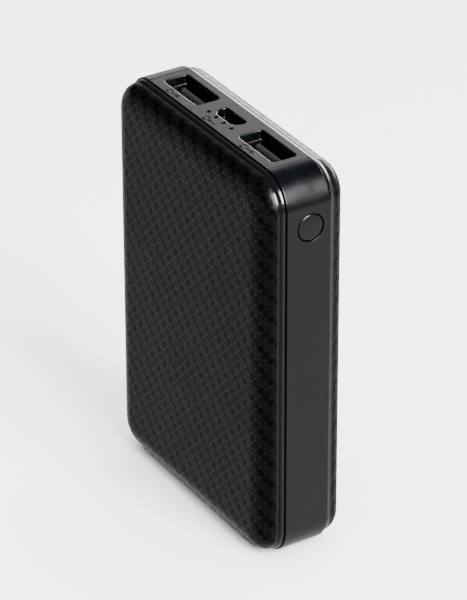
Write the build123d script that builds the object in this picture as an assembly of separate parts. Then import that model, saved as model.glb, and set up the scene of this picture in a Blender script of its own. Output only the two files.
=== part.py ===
from build123d import *
from math import atan2, degrees
import os

os.makedirs("parts", exist_ok=True)

# Pocket power bank standing on its bottom edge, in millimetres.
# +X is the side with the power button, -Y the front cover, +Z the port end.
# The origin is the middle of the bottom edge.

# Driving dimensions
WIDTH = 62.8
HEIGHT = 93.0
DEPTH = 21.2
CORNER_RADIUS = 7.4
FRAME_DEPTH = 10.4
FRAME_WALL = 2.0
COVER_WALL = 1.5
COVER_INSET = 0.35
SEAM_GAP = 0.25
RIM_HEIGHT = 1.25
RIM_SLOPE = 0.4
EDGE_REACH = 5.5
LIP_CLEARANCE = 0.05
LIP_WALL = 1.0
LIP_DEPTH = 0.95
PANEL_THICKNESS = 1.8
PANEL_END_GAP = 0.1
SHELF_THICKNESS = 1.4
USB_A_SPACING = 30.24
USB_A_Y = 0.23
MICRO_USB_X = -0.1
MICRO_USB_Y = 0.55
LED_COUNT = 4
LED_PITCH = 3.02
LED_START_X = -4.6
LED_Y = -2.06
BUTTON_Y = 0.55
BUTTON_Z = 81.1
BUTTON_HOLE_RADIUS = 3.22
BUTTON_RADIUS = 3.15
BUTTON_TRAVEL = 0.35
CELL_WIDTH = 56.0
CELL_HEIGHT = 67.0
CELL_THICKNESS = 8.2

# Places worked out from them
FRAME_FACE = FRAME_DEPTH / 2
COVER_START = FRAME_FACE + SEAM_GAP
RIM_END = COVER_START + RIM_HEIGHT
RIM_INSET = COVER_INSET + RIM_SLOPE
HOLLOW_INSET = RIM_INSET + COVER_WALL - 0.15
COVER_FACE = DEPTH / 2
LIP_START = FRAME_FACE - LIP_DEPTH
PANEL_HALF_LENGTH = WIDTH / 2 - CORNER_RADIUS
PANEL_UNDERSIDE = HEIGHT - PANEL_THICKNESS
SHELF_UNDERSIDE = PANEL_UNDERSIDE - SHELF_THICKNESS
WALL_INSIDE_X = WIDTH / 2 - FRAME_WALL
USB_A_CENTRES = {"left": -USB_A_SPACING / 2, "right": USB_A_SPACING / 2}
LED_CENTRES = [LED_START_X + LED_PITCH * i for i in range(LED_COUNT)]

# Circuit board: a plate on edge behind the ports, its faces towards the covers
BOARD_FRONT = -1.85
BOARD_BACK = -0.85
BOARD_BOTTOM = 71.4
BOARD_TOP = SHELF_UNDERSIDE - 0.2
BOARD_HALF_WIDTH = 27.5

# USB-A receptacle
OPENING_A = (13.6, 5.9, 0.8)
SHELL_A = (13.1, 5.7)
SHELL_A_LENGTH = 14.0
SHELL_SHEET = 0.3
SHELL_A_BOTTOM = PANEL_UNDERSIDE - SHELL_A_LENGTH
TONGUE_A_FRONT = 0.6
TONGUE_A_BACK = 2.1
CONTACT_A_OFFSETS = (-3.5, -1.0, 1.0, 3.5)
CONTACT_THICKNESS = 0.25

# Micro-USB receptacle
OPENING_MICRO = (8.2, 3.3)
SHELL_MICRO = (7.5, 2.6)
SHELL_MICRO_BOTTOM = PANEL_UNDERSIDE - 5.4
MICRO_SHELL_Y = BOARD_BACK + SHELL_MICRO[1] / 2
MICRO_SHEET = 0.25

# Signs sunk into the panel: their X, and whether the arrow points out of the port
MARKS = ((-16.0, True), (13.9, True), (-1.0, False))
MARK_Y = -4.05
MARK_DEPTH = 0.15

# Side-push switch behind the button
SWITCH_BACK = 23.2
SWITCH_FACE = 26.4
SWITCH_TIP = 27.4
SWITCH_BORE = 0.9
SWITCH_HALF_HEIGHT = 2.1

# Snap hooks, and the bosses with their screws
HOOK_HEIGHTS = (22.0, 44.0, 66.0)
BOSS_X = 25.4
BOSS_Z = 73.6
SCREW_RADIUS = 0.8

# Cells, their tabs and the card over them
CELL_BOTTOM = 3.4
CELL_TOP = CELL_BOTTOM + CELL_HEIGHT
CELL_GAP = 1.0
CELL_MIDDLE = (CELL_GAP + CELL_THICKNESS) / 2
CELL_BACK = CELL_GAP / 2 + CELL_THICKNESS
CARD_TOP = CELL_TOP + 0.55
TAB_X = (-7.0, 7.0)
TAB_WIDTH = 3.0
TAB_THICKNESS = 0.15


def block(x, y, z):
    """Box between two X, two Y and two Z values."""
    size = (x[1] - x[0], y[1] - y[0], z[1] - z[0])
    centre = ((x[0] + x[1]) / 2, (y[0] + y[1]) / 2, (z[0] + z[1]) / 2)
    return Pos(*centre) * Box(*size)


def slab(width, height, radius, y, z_middle=HEIGHT / 2):
    """Upright rounded rectangle between two Y values."""
    plate = extrude(RectangleRounded(width, height, radius), y[1] - y[0])
    return Pos(0, y[1], z_middle) * Rot(90, 0, 0) * plate


def inset_slab(inset, y, slope=0):
    """Case outline drawn in by an inset, growing by a slope towards its lower Y."""
    size = (WIDTH - 2 * inset, HEIGHT - 2 * inset, CORNER_RADIUS - inset)
    if slope == 0:
        return slab(*size, y)
    angle = degrees(atan2(slope, y[1] - y[0]))
    plate = extrude(RectangleRounded(*size), y[1] - y[0], taper=-angle)
    return Pos(0, y[1], HEIGHT / 2) * Rot(90, 0, 0) * plate


def shaft_x(radius, x, y, z):
    """Cylinder along X between two X values."""
    middle = (x[0] + x[1]) / 2
    return Pos(middle, y, z) * Rot(0, 90, 0) * Cylinder(radius, x[1] - x[0])


def shaft_y(radius, x, y, z):
    """Cylinder along Y between two Y values."""
    middle = (y[0] + y[1]) / 2
    return Pos(x, middle, z) * Rot(90, 0, 0) * Cylinder(radius, y[1] - y[0])


def shaft_z(radius, x, y, z):
    """Cylinder along Z between two Z values."""
    middle = (z[0] + z[1]) / 2
    return Pos(x, y, middle) * Cylinder(radius, z[1] - z[0])


def tube_z(outline, x, y, z):
    """Flat outline, drawn about its own centre, extruded between two Z values."""
    return Pos(x, y, z[0]) * extrude(outline, z[1] - z[0])


def domed_slab(inset, y_edge, y_face, reach):
    """Rounded slab whose edge curves in over an elliptical quarter to its face."""
    half_width = WIDTH / 2 - inset - reach
    half_height = HEIGHT / 2 - inset - reach
    radius = CORNER_RADIUS - inset - reach
    core = slab(2 * half_width, 2 * half_height, radius, (y_edge, y_face))
    outline = RectangleRounded(2 * half_width, 2 * half_height, radius).wire()
    path = Pos(0, y_edge, HEIGHT / 2) * Rot(90, 0, 0) * outline
    start = path @ 0
    tangent = path % 0
    outward = tangent.cross(Vector(0, 1, 0))
    if outward.dot(start - Vector(0, y_edge, HEIGHT / 2)) < 0:
        outward = outward * -1
    plane = Plane(origin=start, x_dir=outward, z_dir=tangent)
    side = 1 if plane.y_dir.Y > 0 else -1
    rise = y_face - y_edge
    quarter = EllipticalCenterArc((0, 0), reach, rise, start_angle=0, arc_size=90)
    if side < 0:
        quarter = mirror(quarter, Plane.XZ)
    edges = quarter + Line((0, side * rise), (0, 0)) + Line((0, 0), (reach, 0))
    ring = sweep(plane * make_face(edges), path=path)
    return core + ring


def locating_lip(outer_inset, y):
    """Ring inside the frame's wall, between two Y values, left open under the ports."""
    inner_inset = FRAME_WALL + LIP_CLEARANCE + LIP_WALL
    ring = inset_slab(outer_inset, y) - inset_slab(inner_inset, y)
    port_room = block((-WIDTH, WIDTH), (0, FRAME_FACE + 0.05), (SHELF_UNDERSIDE - 2.0, HEIGHT))
    return ring - port_room


def cover_shell():
    """Rear cover: hollow domed shell with a plain rim, a locating lip and snap hooks."""
    outside = inset_slab(RIM_INSET, (COVER_START, RIM_END), RIM_SLOPE)
    outside += domed_slab(RIM_INSET, RIM_END, COVER_FACE, EDGE_REACH)
    inside = inset_slab(HOLLOW_INSET, (COVER_START, RIM_END))
    inside += domed_slab(HOLLOW_INSET, RIM_END, COVER_FACE - COVER_WALL, EDGE_REACH - 0.8)
    shell = outside - inside
    shell += locating_lip(FRAME_WALL + LIP_CLEARANCE, (LIP_START, COVER_START))
    shell += locating_lip(HOLLOW_INSET - 0.2, (COVER_START, RIM_END))
    for side in (-1, 1):
        for z in HOOK_HEIGHTS:
            edge = sorted((side * (WALL_INSIDE_X - 0.3), side * (WALL_INSIDE_X + 0.3)))
            shell += block(edge, (LIP_START + 0.15, LIP_START + 0.7), (z - 2.5, z + 2.5))
    return shell


def mid_frame():
    """Band between the covers, with the port shelf, button hole and board bosses."""
    depth = (-FRAME_FACE, FRAME_FACE)
    ring = inset_slab(0, depth) - inset_slab(FRAME_WALL, depth)
    ring -= block(
        (-PANEL_HALF_LENGTH, PANEL_HALF_LENGTH),
        (-FRAME_DEPTH, FRAME_DEPTH),
        (PANEL_UNDERSIDE, HEIGHT + 1),
    )
    shoulder = PANEL_HALF_LENGTH + 2.5
    ring += block((-shoulder, shoulder), depth, (SHELF_UNDERSIDE, PANEL_UNDERSIDE))
    for side in (-1, 1):
        ends = sorted((side * PANEL_HALF_LENGTH, side * shoulder))
        ring += block(ends, depth, (SHELF_UNDERSIDE, HEIGHT - 1.0))
    through = (SHELF_UNDERSIDE - 1, PANEL_UNDERSIDE + 1)
    for x in USB_A_CENTRES.values():
        ring -= tube_z(Rectangle(SHELL_A[0] + 0.3, SHELL_A[1] + 0.3), x, USB_A_Y, through)
    ring -= tube_z(
        Rectangle(SHELL_MICRO[0] + 0.3, SHELL_MICRO[1] + 0.3), MICRO_USB_X, MICRO_SHELL_Y, through
    )
    for x in LED_CENTRES:
        ring -= shaft_z(0.5, x, LED_Y, through)
    ring -= shaft_x(BUTTON_HOLE_RADIUS, (WALL_INSIDE_X - 1, WIDTH), BUTTON_Y, BUTTON_Z)
    for side in (-1, 1):
        ends = sorted((side * (BOSS_X - 2.4), side * (WALL_INSIDE_X + 0.5)))
        ring += block(ends, (BOARD_BACK, 2.4), (BOSS_Z - 1.7, BOSS_Z + 1.7))
        ring -= shaft_y(SCREW_RADIUS + 0.02, side * BOSS_X, (BOARD_BACK - 1, 1.8), BOSS_Z)
        for front in (-1, 1):
            for z in HOOK_HEIGHTS:
                pocket = sorted((side * WALL_INSIDE_X, side * (WALL_INSIDE_X + 0.4)))
                reach = sorted((front * (FRAME_FACE - 0.9), front * (FRAME_FACE - 0.15)))
                ring -= block(pocket, reach, (z - 2.7, z + 2.7))
    return ring


def micro_outline(width, height):
    """Micro-USB mouth: square at the back, with its front corners cut off."""
    half = width / 2
    cut_in = 0.14 * width
    cut_up = 0.42 * height
    corners = [
        (-half, height / 2),
        (half, height / 2),
        (half, cut_up - height / 2),
        (half - cut_in, -height / 2),
        (cut_in - half, -height / 2),
        (-half, cut_up - height / 2),
    ]
    face = make_face(Polyline(*corners, close=True))
    return fillet(face.vertices(), 0.08 * width)


def arrow_mark(x, outwards):
    """Sunk sign beside a port: a bracket with an arrow that leaves or enters it."""
    side = 1 if outwards else -1
    stroke, half_height = 0.3, 0.85
    shapes = Pos(-1.9, 0) * Rectangle(stroke, 2 * half_height)
    for y in (stroke / 2 - half_height, half_height - stroke / 2):
        shapes += Pos(-1.35, y) * Rectangle(1.4, stroke)
    shapes += Pos(0.8, 0) * Rectangle(2.8, stroke)
    tip = 2.5 if outwards else -0.85
    head = Polyline((tip, 0), (tip - side, 0.62), (tip - side, -0.62), close=True)
    shapes += make_face(head)
    return tube_z(shapes, x, MARK_Y, (HEIGHT - MARK_DEPTH, HEIGHT + 1))


def port_panel():
    """Flush plate over the shelf, open at the ports and the indicator lamps."""
    half = PANEL_HALF_LENGTH - PANEL_END_GAP
    plate = block((-half, half), (-FRAME_FACE, FRAME_FACE), (PANEL_UNDERSIDE, HEIGHT))
    through = (PANEL_UNDERSIDE - 1, HEIGHT + 1)
    for x in USB_A_CENTRES.values():
        plate -= tube_z(RectangleRounded(*OPENING_A), x, USB_A_Y, through)
    plate -= tube_z(micro_outline(*OPENING_MICRO), MICRO_USB_X, MICRO_USB_Y, through)
    for x in LED_CENTRES:
        plate -= shaft_z(0.45, x, LED_Y, through)
    for x, outwards in MARKS:
        plate -= arrow_mark(x, outwards)
    return plate


def power_button():
    """Round cap flush with the frame, with a holding flange and a short stem."""
    cap = shaft_x(BUTTON_RADIUS, (WALL_INSIDE_X - 0.05, WIDTH / 2), BUTTON_Y, BUTTON_Z)
    outer_rim = cap.edges().filter_by(GeomType.CIRCLE).sort_by(Axis.X)[-1]
    cap = fillet(outer_rim, 0.25)
    flange = shaft_x(3.6, (WALL_INSIDE_X - 0.85, WALL_INSIDE_X - 0.05), BUTTON_Y, BUTTON_Z)
    stem = shaft_x(1.0, (SWITCH_TIP + 0.02, WALL_INSIDE_X - 0.85), BUTTON_Y, BUTTON_Z)
    return cap + flange + stem


def switch_body():
    """Side-push switch on the board's edge, with a bore for its plunger."""
    depth = (BOARD_BACK, 2 * BUTTON_Y - BOARD_BACK)
    height = (BUTTON_Z - SWITCH_HALF_HEIGHT, BUTTON_Z + SWITCH_HALF_HEIGHT)
    body = block((SWITCH_BACK, SWITCH_FACE), depth, height)
    return body - shaft_x(SWITCH_BORE, (24.6, SWITCH_FACE + 1), BUTTON_Y, BUTTON_Z)


def switch_plunger():
    """Small pin that the button's stem pushes into the switch."""
    return shaft_x(SWITCH_BORE - 0.05, (24.6 + BUTTON_TRAVEL + 0.1, SWITCH_TIP), BUTTON_Y, BUTTON_Z)


def circuit_board():
    """Board with two notches that the USB-A shells sink into, and two screw holes."""
    faces = (BOARD_FRONT, BOARD_BACK)
    board = block((-BOARD_HALF_WIDTH, BOARD_HALF_WIDTH), faces, (BOARD_BOTTOM, BOARD_TOP))
    for x in USB_A_CENTRES.values():
        half = SHELL_A[0] / 2 + 0.15
        board -= block((x - half, x + half), (-5, 5), (SHELL_A_BOTTOM - 0.2, HEIGHT))
    for side in (-1, 1):
        board -= shaft_y(SCREW_RADIUS + 0.1, side * BOSS_X, (-5, 5), BOSS_Z)
    return board


def usb_a_shell(x):
    """Folded sheet shell of a USB-A receptacle, with wings that rest on the board."""
    span = (SHELL_A_BOTTOM, PANEL_UNDERSIDE)
    hollow = (SHELL_A[0] - 2 * SHELL_SHEET, SHELL_A[1] - 2 * SHELL_SHEET, 0.4)
    shell = tube_z(RectangleRounded(*SHELL_A, 0.7), x, USB_A_Y, span)
    shell -= tube_z(RectangleRounded(*hollow), x, USB_A_Y, (SHELL_A_BOTTOM - 1, HEIGHT))
    for side in (-1, 1):
        inner = x + side * (SHELL_A[0] / 2 - 0.1)
        wing = sorted((inner, inner + side * 1.1))
        shell += block(wing, (BOARD_BACK, BOARD_BACK + SHELL_SHEET), (79.5, 83.5))
    return shell


def usb_a_contacts(x):
    """Four contact strips on the front of the tongue, with feet on the board."""
    back = TONGUE_A_FRONT
    front = back - CONTACT_THICKNESS
    strips = []
    for offset in CONTACT_A_OFFSETS:
        sides = (x + offset - 0.5, x + offset + 0.5)
        strip = block(sides, (front, back), (75.75, PANEL_UNDERSIDE - 1.1))
        strip += block(sides, (BOARD_BACK, back), (75.75, 76.0))
        strip += block(sides, (BOARD_BACK, BOARD_BACK + CONTACT_THICKNESS), (74.6, 76.0))
        strips.append(strip)
    return Compound(strips)


def usb_a_tongue(x, contacts):
    """Moulded insulator: a base that plugs the shell's back and the tongue itself."""
    base_height = 2.2
    base = block(
        (x - 6.1, x + 6.1), (USB_A_Y - 2.4, USB_A_Y + 2.4), (SHELL_A_BOTTOM, SHELL_A_BOTTOM + base_height)
    )
    tongue = block(
        (x - 5.55, x + 5.55),
        (TONGUE_A_FRONT, TONGUE_A_BACK),
        (SHELL_A_BOTTOM + base_height, PANEL_UNDERSIDE - 0.5),
    )
    tip_edges = tongue.faces().sort_by(Axis.Z)[-1].edges().filter_by(Axis.X)
    tongue = chamfer(tip_edges, 0.4)
    return base + tongue - contacts


def micro_usb_shell():
    """Folded sheet shell of the micro-USB receptacle, lying on the board's back."""
    span = (SHELL_MICRO_BOTTOM, PANEL_UNDERSIDE)
    hollow = (SHELL_MICRO[0] - 2 * MICRO_SHEET, SHELL_MICRO[1] - 2 * MICRO_SHEET)
    shell = tube_z(micro_outline(*SHELL_MICRO), MICRO_USB_X, MICRO_SHELL_Y, span)
    return shell - tube_z(
        micro_outline(*hollow), MICRO_USB_X, MICRO_SHELL_Y, (SHELL_MICRO_BOTTOM - 1, HEIGHT)
    )


def micro_usb_contacts():
    """Five fine strips on the front of the micro-USB tongue."""
    strips = []
    for i in range(5):
        x = MICRO_USB_X + 0.65 * (i - 2)
        strips.append(block((x - 0.15, x + 0.15), (0.5, 0.62), (84.6, PANEL_UNDERSIDE - 0.9)))
    return Compound(strips)


def micro_usb_tongue(contacts):
    """Insulator of the micro-USB receptacle: a base with a thin tongue."""
    x = MICRO_USB_X
    base_top = SHELL_MICRO_BOTTOM + 1.0
    base = block((x - 2.3, x + 2.3), (BOARD_BACK + 0.3, 1.3), (SHELL_MICRO_BOTTOM, base_top))
    tongue = block((x - 1.9, x + 1.9), (0.62, 1.22), (base_top, PANEL_UNDERSIDE - 0.6))
    return base + tongue - contacts


def status_leds():
    """Side-lit lamp chips on the board's front, one under each panel hole."""
    chips = [
        block((x - 0.6, x + 0.6), (BOARD_FRONT - 0.6, BOARD_FRONT), (87.3, 88.5)) for x in LED_CENTRES
    ]
    return Compound(chips)


def led_light_guide():
    """Clear strip with a peg that carries the light up into each panel hole."""
    ends = (LED_CENTRES[0] - 0.9, LED_CENTRES[-1] + 0.9)
    guide = block(ends, (LED_Y - 0.6, BOARD_FRONT - 0.02), (88.55, SHELF_UNDERSIDE - 0.05))
    for x in LED_CENTRES:
        guide += shaft_z(0.42, x, LED_Y, (BOARD_TOP + 0.02, HEIGHT - 0.2))
    return guide


def cell(y):
    """Lithium-polymer pouch with soft edges."""
    pouch = slab(CELL_WIDTH, CELL_HEIGHT, 4.0, y, CELL_BOTTOM + CELL_HEIGHT / 2)
    edges = pouch.faces().filter_by(Axis.Y).edges()
    return fillet(edges, 1.9)


def cell_tabs(cell_y, board_face):
    """Two nickel strips from a cell's top edge, bent over to one face of the board."""
    outward = 1 if cell_y > 0 else -1
    flat = board_face + outward * TAB_THICKNESS / 2
    route = Polyline((cell_y, CELL_TOP), (cell_y, 71.3), (flat, 72.3), (flat, 74.8))
    section = Plane.YZ * trace(route, TAB_THICKNESS)
    strips = [Pos(x - TAB_WIDTH / 2, 0, 0) * extrude(section, TAB_WIDTH, dir=(1, 0, 0)) for x in TAB_X]
    return Compound(strips)


def insulating_card():
    """Thin card between the cells and the board, slotted for the cell tabs."""
    card = block((-27.5, 27.5), (-7.2, 7.2), (CELL_TOP + 0.25, CARD_TOP))
    for x in TAB_X:
        for side in (-1, 1):
            middle = side * CELL_MIDDLE
            card -= block((x - 1.8, x + 1.8), (middle - 0.5, middle + 0.5), (CELL_TOP, CARD_TOP + 1))
    return card


def board_screws():
    """Two pan-head screws through the board into the frame's bosses."""
    screws = []
    for side in (-1, 1):
        x = side * BOSS_X
        screw = shaft_y(1.45, x, (BOARD_FRONT - 1.0, BOARD_FRONT), BOSS_Z)
        screw += shaft_y(SCREW_RADIUS, x, (BOARD_FRONT - 0.1, 1.6), BOSS_Z)
        recess = (BOARD_FRONT - 1.1, BOARD_FRONT - 0.5)
        for half_x, half_z in ((0.9, 0.2), (0.2, 0.9)):
            screw -= block((x - half_x, x + half_x), recess, (BOSS_Z - half_z, BOSS_Z + half_z))
        screws.append(screw)
    return Compound(screws)


def on_board(size, places, back=True):
    """Group of equal components, each a block on one face of the board."""
    width, rise, height = size
    faces = (BOARD_BACK, BOARD_BACK + rise) if back else (BOARD_FRONT - rise, BOARD_FRONT)
    half_x, half_z = width / 2, height / 2
    blocks = [block((x - half_x, x + half_x), faces, (z - half_z, z + half_z)) for x, z in places]
    return blocks[0] if len(blocks) == 1 else Compound(blocks)


def power_inductor():
    """Shielded coil of the step-up converter: a square ferrite with cut corners."""
    coil = block((-3.4, 3.4), (BOARD_BACK, 3.0), (75.0, 81.8))
    return chamfer(coil.edges().filter_by(Axis.Y), 0.9)


def pad(width, height, y):
    """Flat foam or adhesive pad behind or between the cells."""
    return slab(width, height, 2.0, y, CELL_BOTTOM + CELL_HEIGHT / 2)


rear_shell = cover_shell()
usb_contacts = {side: usb_a_contacts(x) for side, x in USB_A_CENTRES.items()}
micro_contacts = micro_usb_contacts()
inner_face = COVER_FACE - COVER_WALL

nodes = {
    "front_cover": mirror(rear_shell, Plane.XZ),
    "rear_cover": rear_shell,
    "mid_frame": mid_frame(),
    "port_panel": port_panel(),
    "power_button": power_button(),
    "switch_body": switch_body(),
    "switch_plunger": switch_plunger(),
    "circuit_board": circuit_board(),
    "micro_usb_shell": micro_usb_shell(),
    "micro_usb_tongue": micro_usb_tongue(micro_contacts),
    "micro_usb_contacts": micro_contacts,
    "status_leds": status_leds(),
    "led_light_guide": led_light_guide(),
    "controller_chip": on_board((5.0, 0.9, 5.0), [(0.0, 83.5)], back=False),
    "power_transistors": on_board((4.0, 1.2, 4.4), [(-3.2, 78.0), (3.2, 78.0)], back=False),
    "power_inductor": power_inductor(),
    "filter_capacitors": on_board((1.6, 1.3, 2.4), [(-6.4, 78), (-6.4, 82), (6.4, 78), (6.4, 82)]),
    "board_screws": board_screws(),
    "front_cell": cell((-CELL_BACK, -CELL_GAP / 2)),
    "rear_cell": cell((CELL_GAP / 2, CELL_BACK)),
    "front_cell_tabs": cell_tabs(-CELL_MIDDLE, BOARD_FRONT),
    "rear_cell_tabs": cell_tabs(CELL_MIDDLE, BOARD_BACK),
    "cell_adhesive_pad": pad(44, 52, (-CELL_GAP / 2, CELL_GAP / 2)),
    "front_foam_pad": pad(40, 46, (-inner_face, -CELL_BACK)),
    "rear_foam_pad": pad(40, 46, (CELL_BACK, inner_face)),
    "insulating_card": insulating_card(),
}
for side, x in USB_A_CENTRES.items():
    nodes[f"usb_a_{side}_shell"] = usb_a_shell(x)
    nodes[f"usb_a_{side}_tongue"] = usb_a_tongue(x, usb_contacts[side])
    nodes[f"usb_a_{side}_contacts"] = usb_contacts[side]

for name, shape in nodes.items():
    export_step(shape, f"parts/{name}.step")
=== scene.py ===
"""Looks of a pocket power bank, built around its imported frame.

Sizes are in metres unless a name says otherwise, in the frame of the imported
model: +X is the button's side, -Y the front cover and +Z the port end.
"""

import logging
import math
from dataclasses import dataclass, field
from enum import Enum
from typing import Callable, ClassVar, Iterable, Sequence

import bmesh
import bpy
from bmesh.types import BMEdge, BMesh, BMFace, BMVert
from mathutils import Matrix, Vector


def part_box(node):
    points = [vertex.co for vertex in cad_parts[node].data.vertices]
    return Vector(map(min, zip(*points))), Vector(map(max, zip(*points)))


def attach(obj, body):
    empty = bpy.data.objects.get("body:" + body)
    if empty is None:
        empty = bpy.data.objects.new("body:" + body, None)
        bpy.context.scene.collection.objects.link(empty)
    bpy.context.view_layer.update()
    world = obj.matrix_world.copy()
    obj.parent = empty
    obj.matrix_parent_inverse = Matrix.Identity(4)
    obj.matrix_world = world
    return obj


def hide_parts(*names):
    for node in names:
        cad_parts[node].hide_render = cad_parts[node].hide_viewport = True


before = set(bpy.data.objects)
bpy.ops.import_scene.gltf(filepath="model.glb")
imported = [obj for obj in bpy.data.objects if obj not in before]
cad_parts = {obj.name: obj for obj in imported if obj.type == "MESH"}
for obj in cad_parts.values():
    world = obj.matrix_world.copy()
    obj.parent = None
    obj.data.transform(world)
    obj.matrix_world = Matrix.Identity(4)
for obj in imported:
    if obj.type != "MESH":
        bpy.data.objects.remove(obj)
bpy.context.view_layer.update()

MM = 0.001
SAME_POINT = 1e-7
SAME_AFTER_CUT = 2e-7
OVERSHOOT = 1.0 * MM
SAME_LEVEL = 0.02 * MM
LOOKS_UP = 0.9
STANDS_UPRIGHT = 0.1
SEAM = 0.25 * MM
PANEL_PLAY = 0.1 * MM
CRISP_DEG = 32.0
CASE_BODY = "case"
BUTTON_BODY = "button"
LOG = logging.getLogger("power_bank")

Socket = bpy.types.NodeSocket
Value = Socket | float
Color = tuple[float, float, float]
Pair = tuple[float, float]
Ring = tuple[float, float, float, float]
Steps = list[Pair]

NOISE_SPAN: Pair = (0.3, 0.7)


# ---------------------------------------------------------------------------
# Mesh helpers
# ---------------------------------------------------------------------------


def soften(bm: BMesh, edges: Sequence[BMEdge], radius: float, steps: int) -> None:
    """Rounds edges, or cuts them off flat with a single step.

    Args:
        bm: mesh that holds the edges.
        edges: what is rounded.
        radius: distance from the edge to where the rounding starts.
        steps: segments of the rounding.
    """
    bmesh.ops.bevel(
        bm,
        geom=list(edges),
        offset=radius,
        offset_type="OFFSET",
        segments=steps,
        profile=0.5,
        affect="EDGES",
        material=-1,
    )


def rounded_corners(bm: BMesh, face: BMFace, radius: float, steps: int, place: Matrix) -> BMFace:
    """Rounds the corners of a face that lies in XY, then puts it in place.

    Args:
        bm: mesh that holds the face.
        face: flat face with sharp corners.
        radius: rounding of each corner, or 0 for none.
        steps: segments of each corner.
        place: matrix that carries the XY plane to its place.

    Returns:
        The finished face.
    """
    if radius > 0:
        bevelled = bmesh.ops.bevel(
            bm,
            geom=list(face.verts),
            offset=radius,
            offset_type="OFFSET",
            segments=steps,
            profile=0.5,
            affect="VERTICES",
            material=-1,
        )
        face = max({f for v in bevelled["verts"] for f in v.link_faces}, key=BMFace.calc_area)
    bmesh.ops.transform(bm, matrix=place, verts=list(face.verts))
    face.normal_update()
    return face


def flat_rectangle(bm: BMesh, width: float, height: float) -> BMFace:
    """Rectangle in XY, centred on the origin.

    Args:
        bm: mesh that receives the face.
        width: size along X.
        height: size along Y.

    Returns:
        The new face.
    """
    made = bmesh.ops.create_grid(bm, x_segments=1, y_segments=1, size=1.0)
    bmesh.ops.scale(bm, vec=(width / 2, height / 2, 1.0), verts=made["verts"])
    return made["verts"][0].link_faces[0]


def rounded_face(
    bm: BMesh, half: Pair, radius: float, place: Matrix, steps: int = 8
) -> BMFace:
    """Flat rounded rectangle, drawn in XY and then put in place.

    Args:
        bm: mesh that receives the face.
        half: half sizes along X and Y before placing.
        radius: corner radius.
        place: matrix that carries the XY plane to its place.
        steps: segments of each corner.

    Returns:
        The new face.
    """
    face = flat_rectangle(bm, 2 * half[0], 2 * half[1])
    return rounded_corners(bm, face, radius, steps, place)


def round_face(bm: BMesh, radius: float, steps: int, place: Matrix) -> BMFace:
    """Disc drawn in XY and then put in place.

    Args:
        bm: mesh that receives the face.
        radius: radius of the disc.
        steps: segments round it.
        place: matrix that carries the XY plane to its place.

    Returns:
        The new face.
    """
    made = bmesh.ops.create_circle(bm, cap_ends=True, segments=steps, radius=radius)
    face = made["verts"][0].link_faces[0]
    bmesh.ops.transform(bm, matrix=place, verts=made["verts"])
    face.normal_update()
    return face


def outward_steps(verts_in_order: Sequence[BMVert], normal: Vector) -> list[Vector]:
    """Mitred outward direction of each corner of a flat closed loop.

    Args:
        verts_in_order: the loop's corners, anticlockwise seen against the normal.
        normal: unit normal of the loop's plane.

    Returns:
        One vector per corner, which moves both its edges out by one unit.
    """
    count = len(verts_in_order)
    steps = []
    for i, vert in enumerate(verts_in_order):
        before = (vert.co - verts_in_order[i - 1].co).normalized().cross(normal)
        after = (verts_in_order[(i + 1) % count].co - vert.co).normalized().cross(normal)
        middle = (before + after).normalized()
        steps.append(middle / max(middle.dot(after), 0.3))
    return steps


def grow_face(face: BMFace, distance: float) -> None:
    """Moves a flat face's outline outwards by a distance, or inwards if negative.

    Args:
        face: face of a mesh, with rounded or square corners.
        distance: how far the outline moves.
    """
    verts = [loop.vert for loop in face.loops]
    face.normal_update()
    steps = outward_steps(verts, face.normal.copy())
    for vert, step in zip(verts, steps):
        vert.co += step * distance


def raise_face(bm: BMesh, face: BMFace, move: Vector, grow: float = 0.0) -> BMFace:
    """Extrudes a face along a vector and grows the new end.

    Args:
        bm: mesh that holds the face.
        face: face to extrude, which stays as the other end.
        move: travel of the new end.
        grow: how far the new end's outline moves outwards.

    Returns:
        The face at the new end.
    """
    made = bmesh.ops.extrude_face_region(bm, geom=[face], use_keep_orig=False)
    new_face = next(g for g in made["geom"] if isinstance(g, BMFace))
    if face.is_valid:
        bmesh.ops.delete(bm, geom=[face], context="FACES_ONLY")
    bmesh.ops.translate(bm, vec=move, verts=list(new_face.verts))
    if grow:
        grow_face(new_face, grow)
    return new_face


def prism(bm: BMesh, face: BMFace, profile: Iterable[Pair]) -> BMFace:
    """Closed solid that rises from a face through (rise, growth) steps.

    Args:
        bm: mesh that holds the face.
        face: the solid's first end.
        profile: steps along the face's normal, each with its change of outline.

    Returns:
        The face at the last end.
    """
    face.normal_update()
    axis = face.normal.copy()
    bmesh.ops.duplicate(bm, geom=[face])
    for rise, grow in profile:
        face = raise_face(bm, face, axis * rise, grow)
    bmesh.ops.remove_doubles(bm, verts=list(bm.verts), dist=SAME_POINT)
    return face


def quarter_round(radius: float, steps: int, grow: bool = True) -> Steps:
    """(rise, growth) steps of a quarter circle that flares out, or closes in.

    Args:
        radius: radius of the arc.
        steps: straight steps along it.
        grow: True for a flare that ends flat, False for a rounded end.

    Returns:
        The steps, for prism().
    """
    sign = 1.0 if grow else -1.0
    made = []
    for i in range(steps):
        low, high = (math.pi / 2 * k / steps for k in (i, i + 1))
        rise = radius * (math.sin(high) - math.sin(low))
        made.append((rise, sign * radius * (math.cos(low) - math.cos(high))))
    return made


def hole_steps(depth: float, flare: float, steps: int) -> Steps:
    """(rise, growth) steps of a tool that cuts a hole with a flared mouth.

    Args:
        depth: travel from the tool's start to the surface.
        flare: radius of the rounded mouth.
        steps: segments of that rounding.

    Returns:
        The steps, for prism(), which end a little above the surface.
    """
    return [(depth - flare, 0.0), *quarter_round(flare, steps), (OVERSHOOT, 0.0)]


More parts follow.
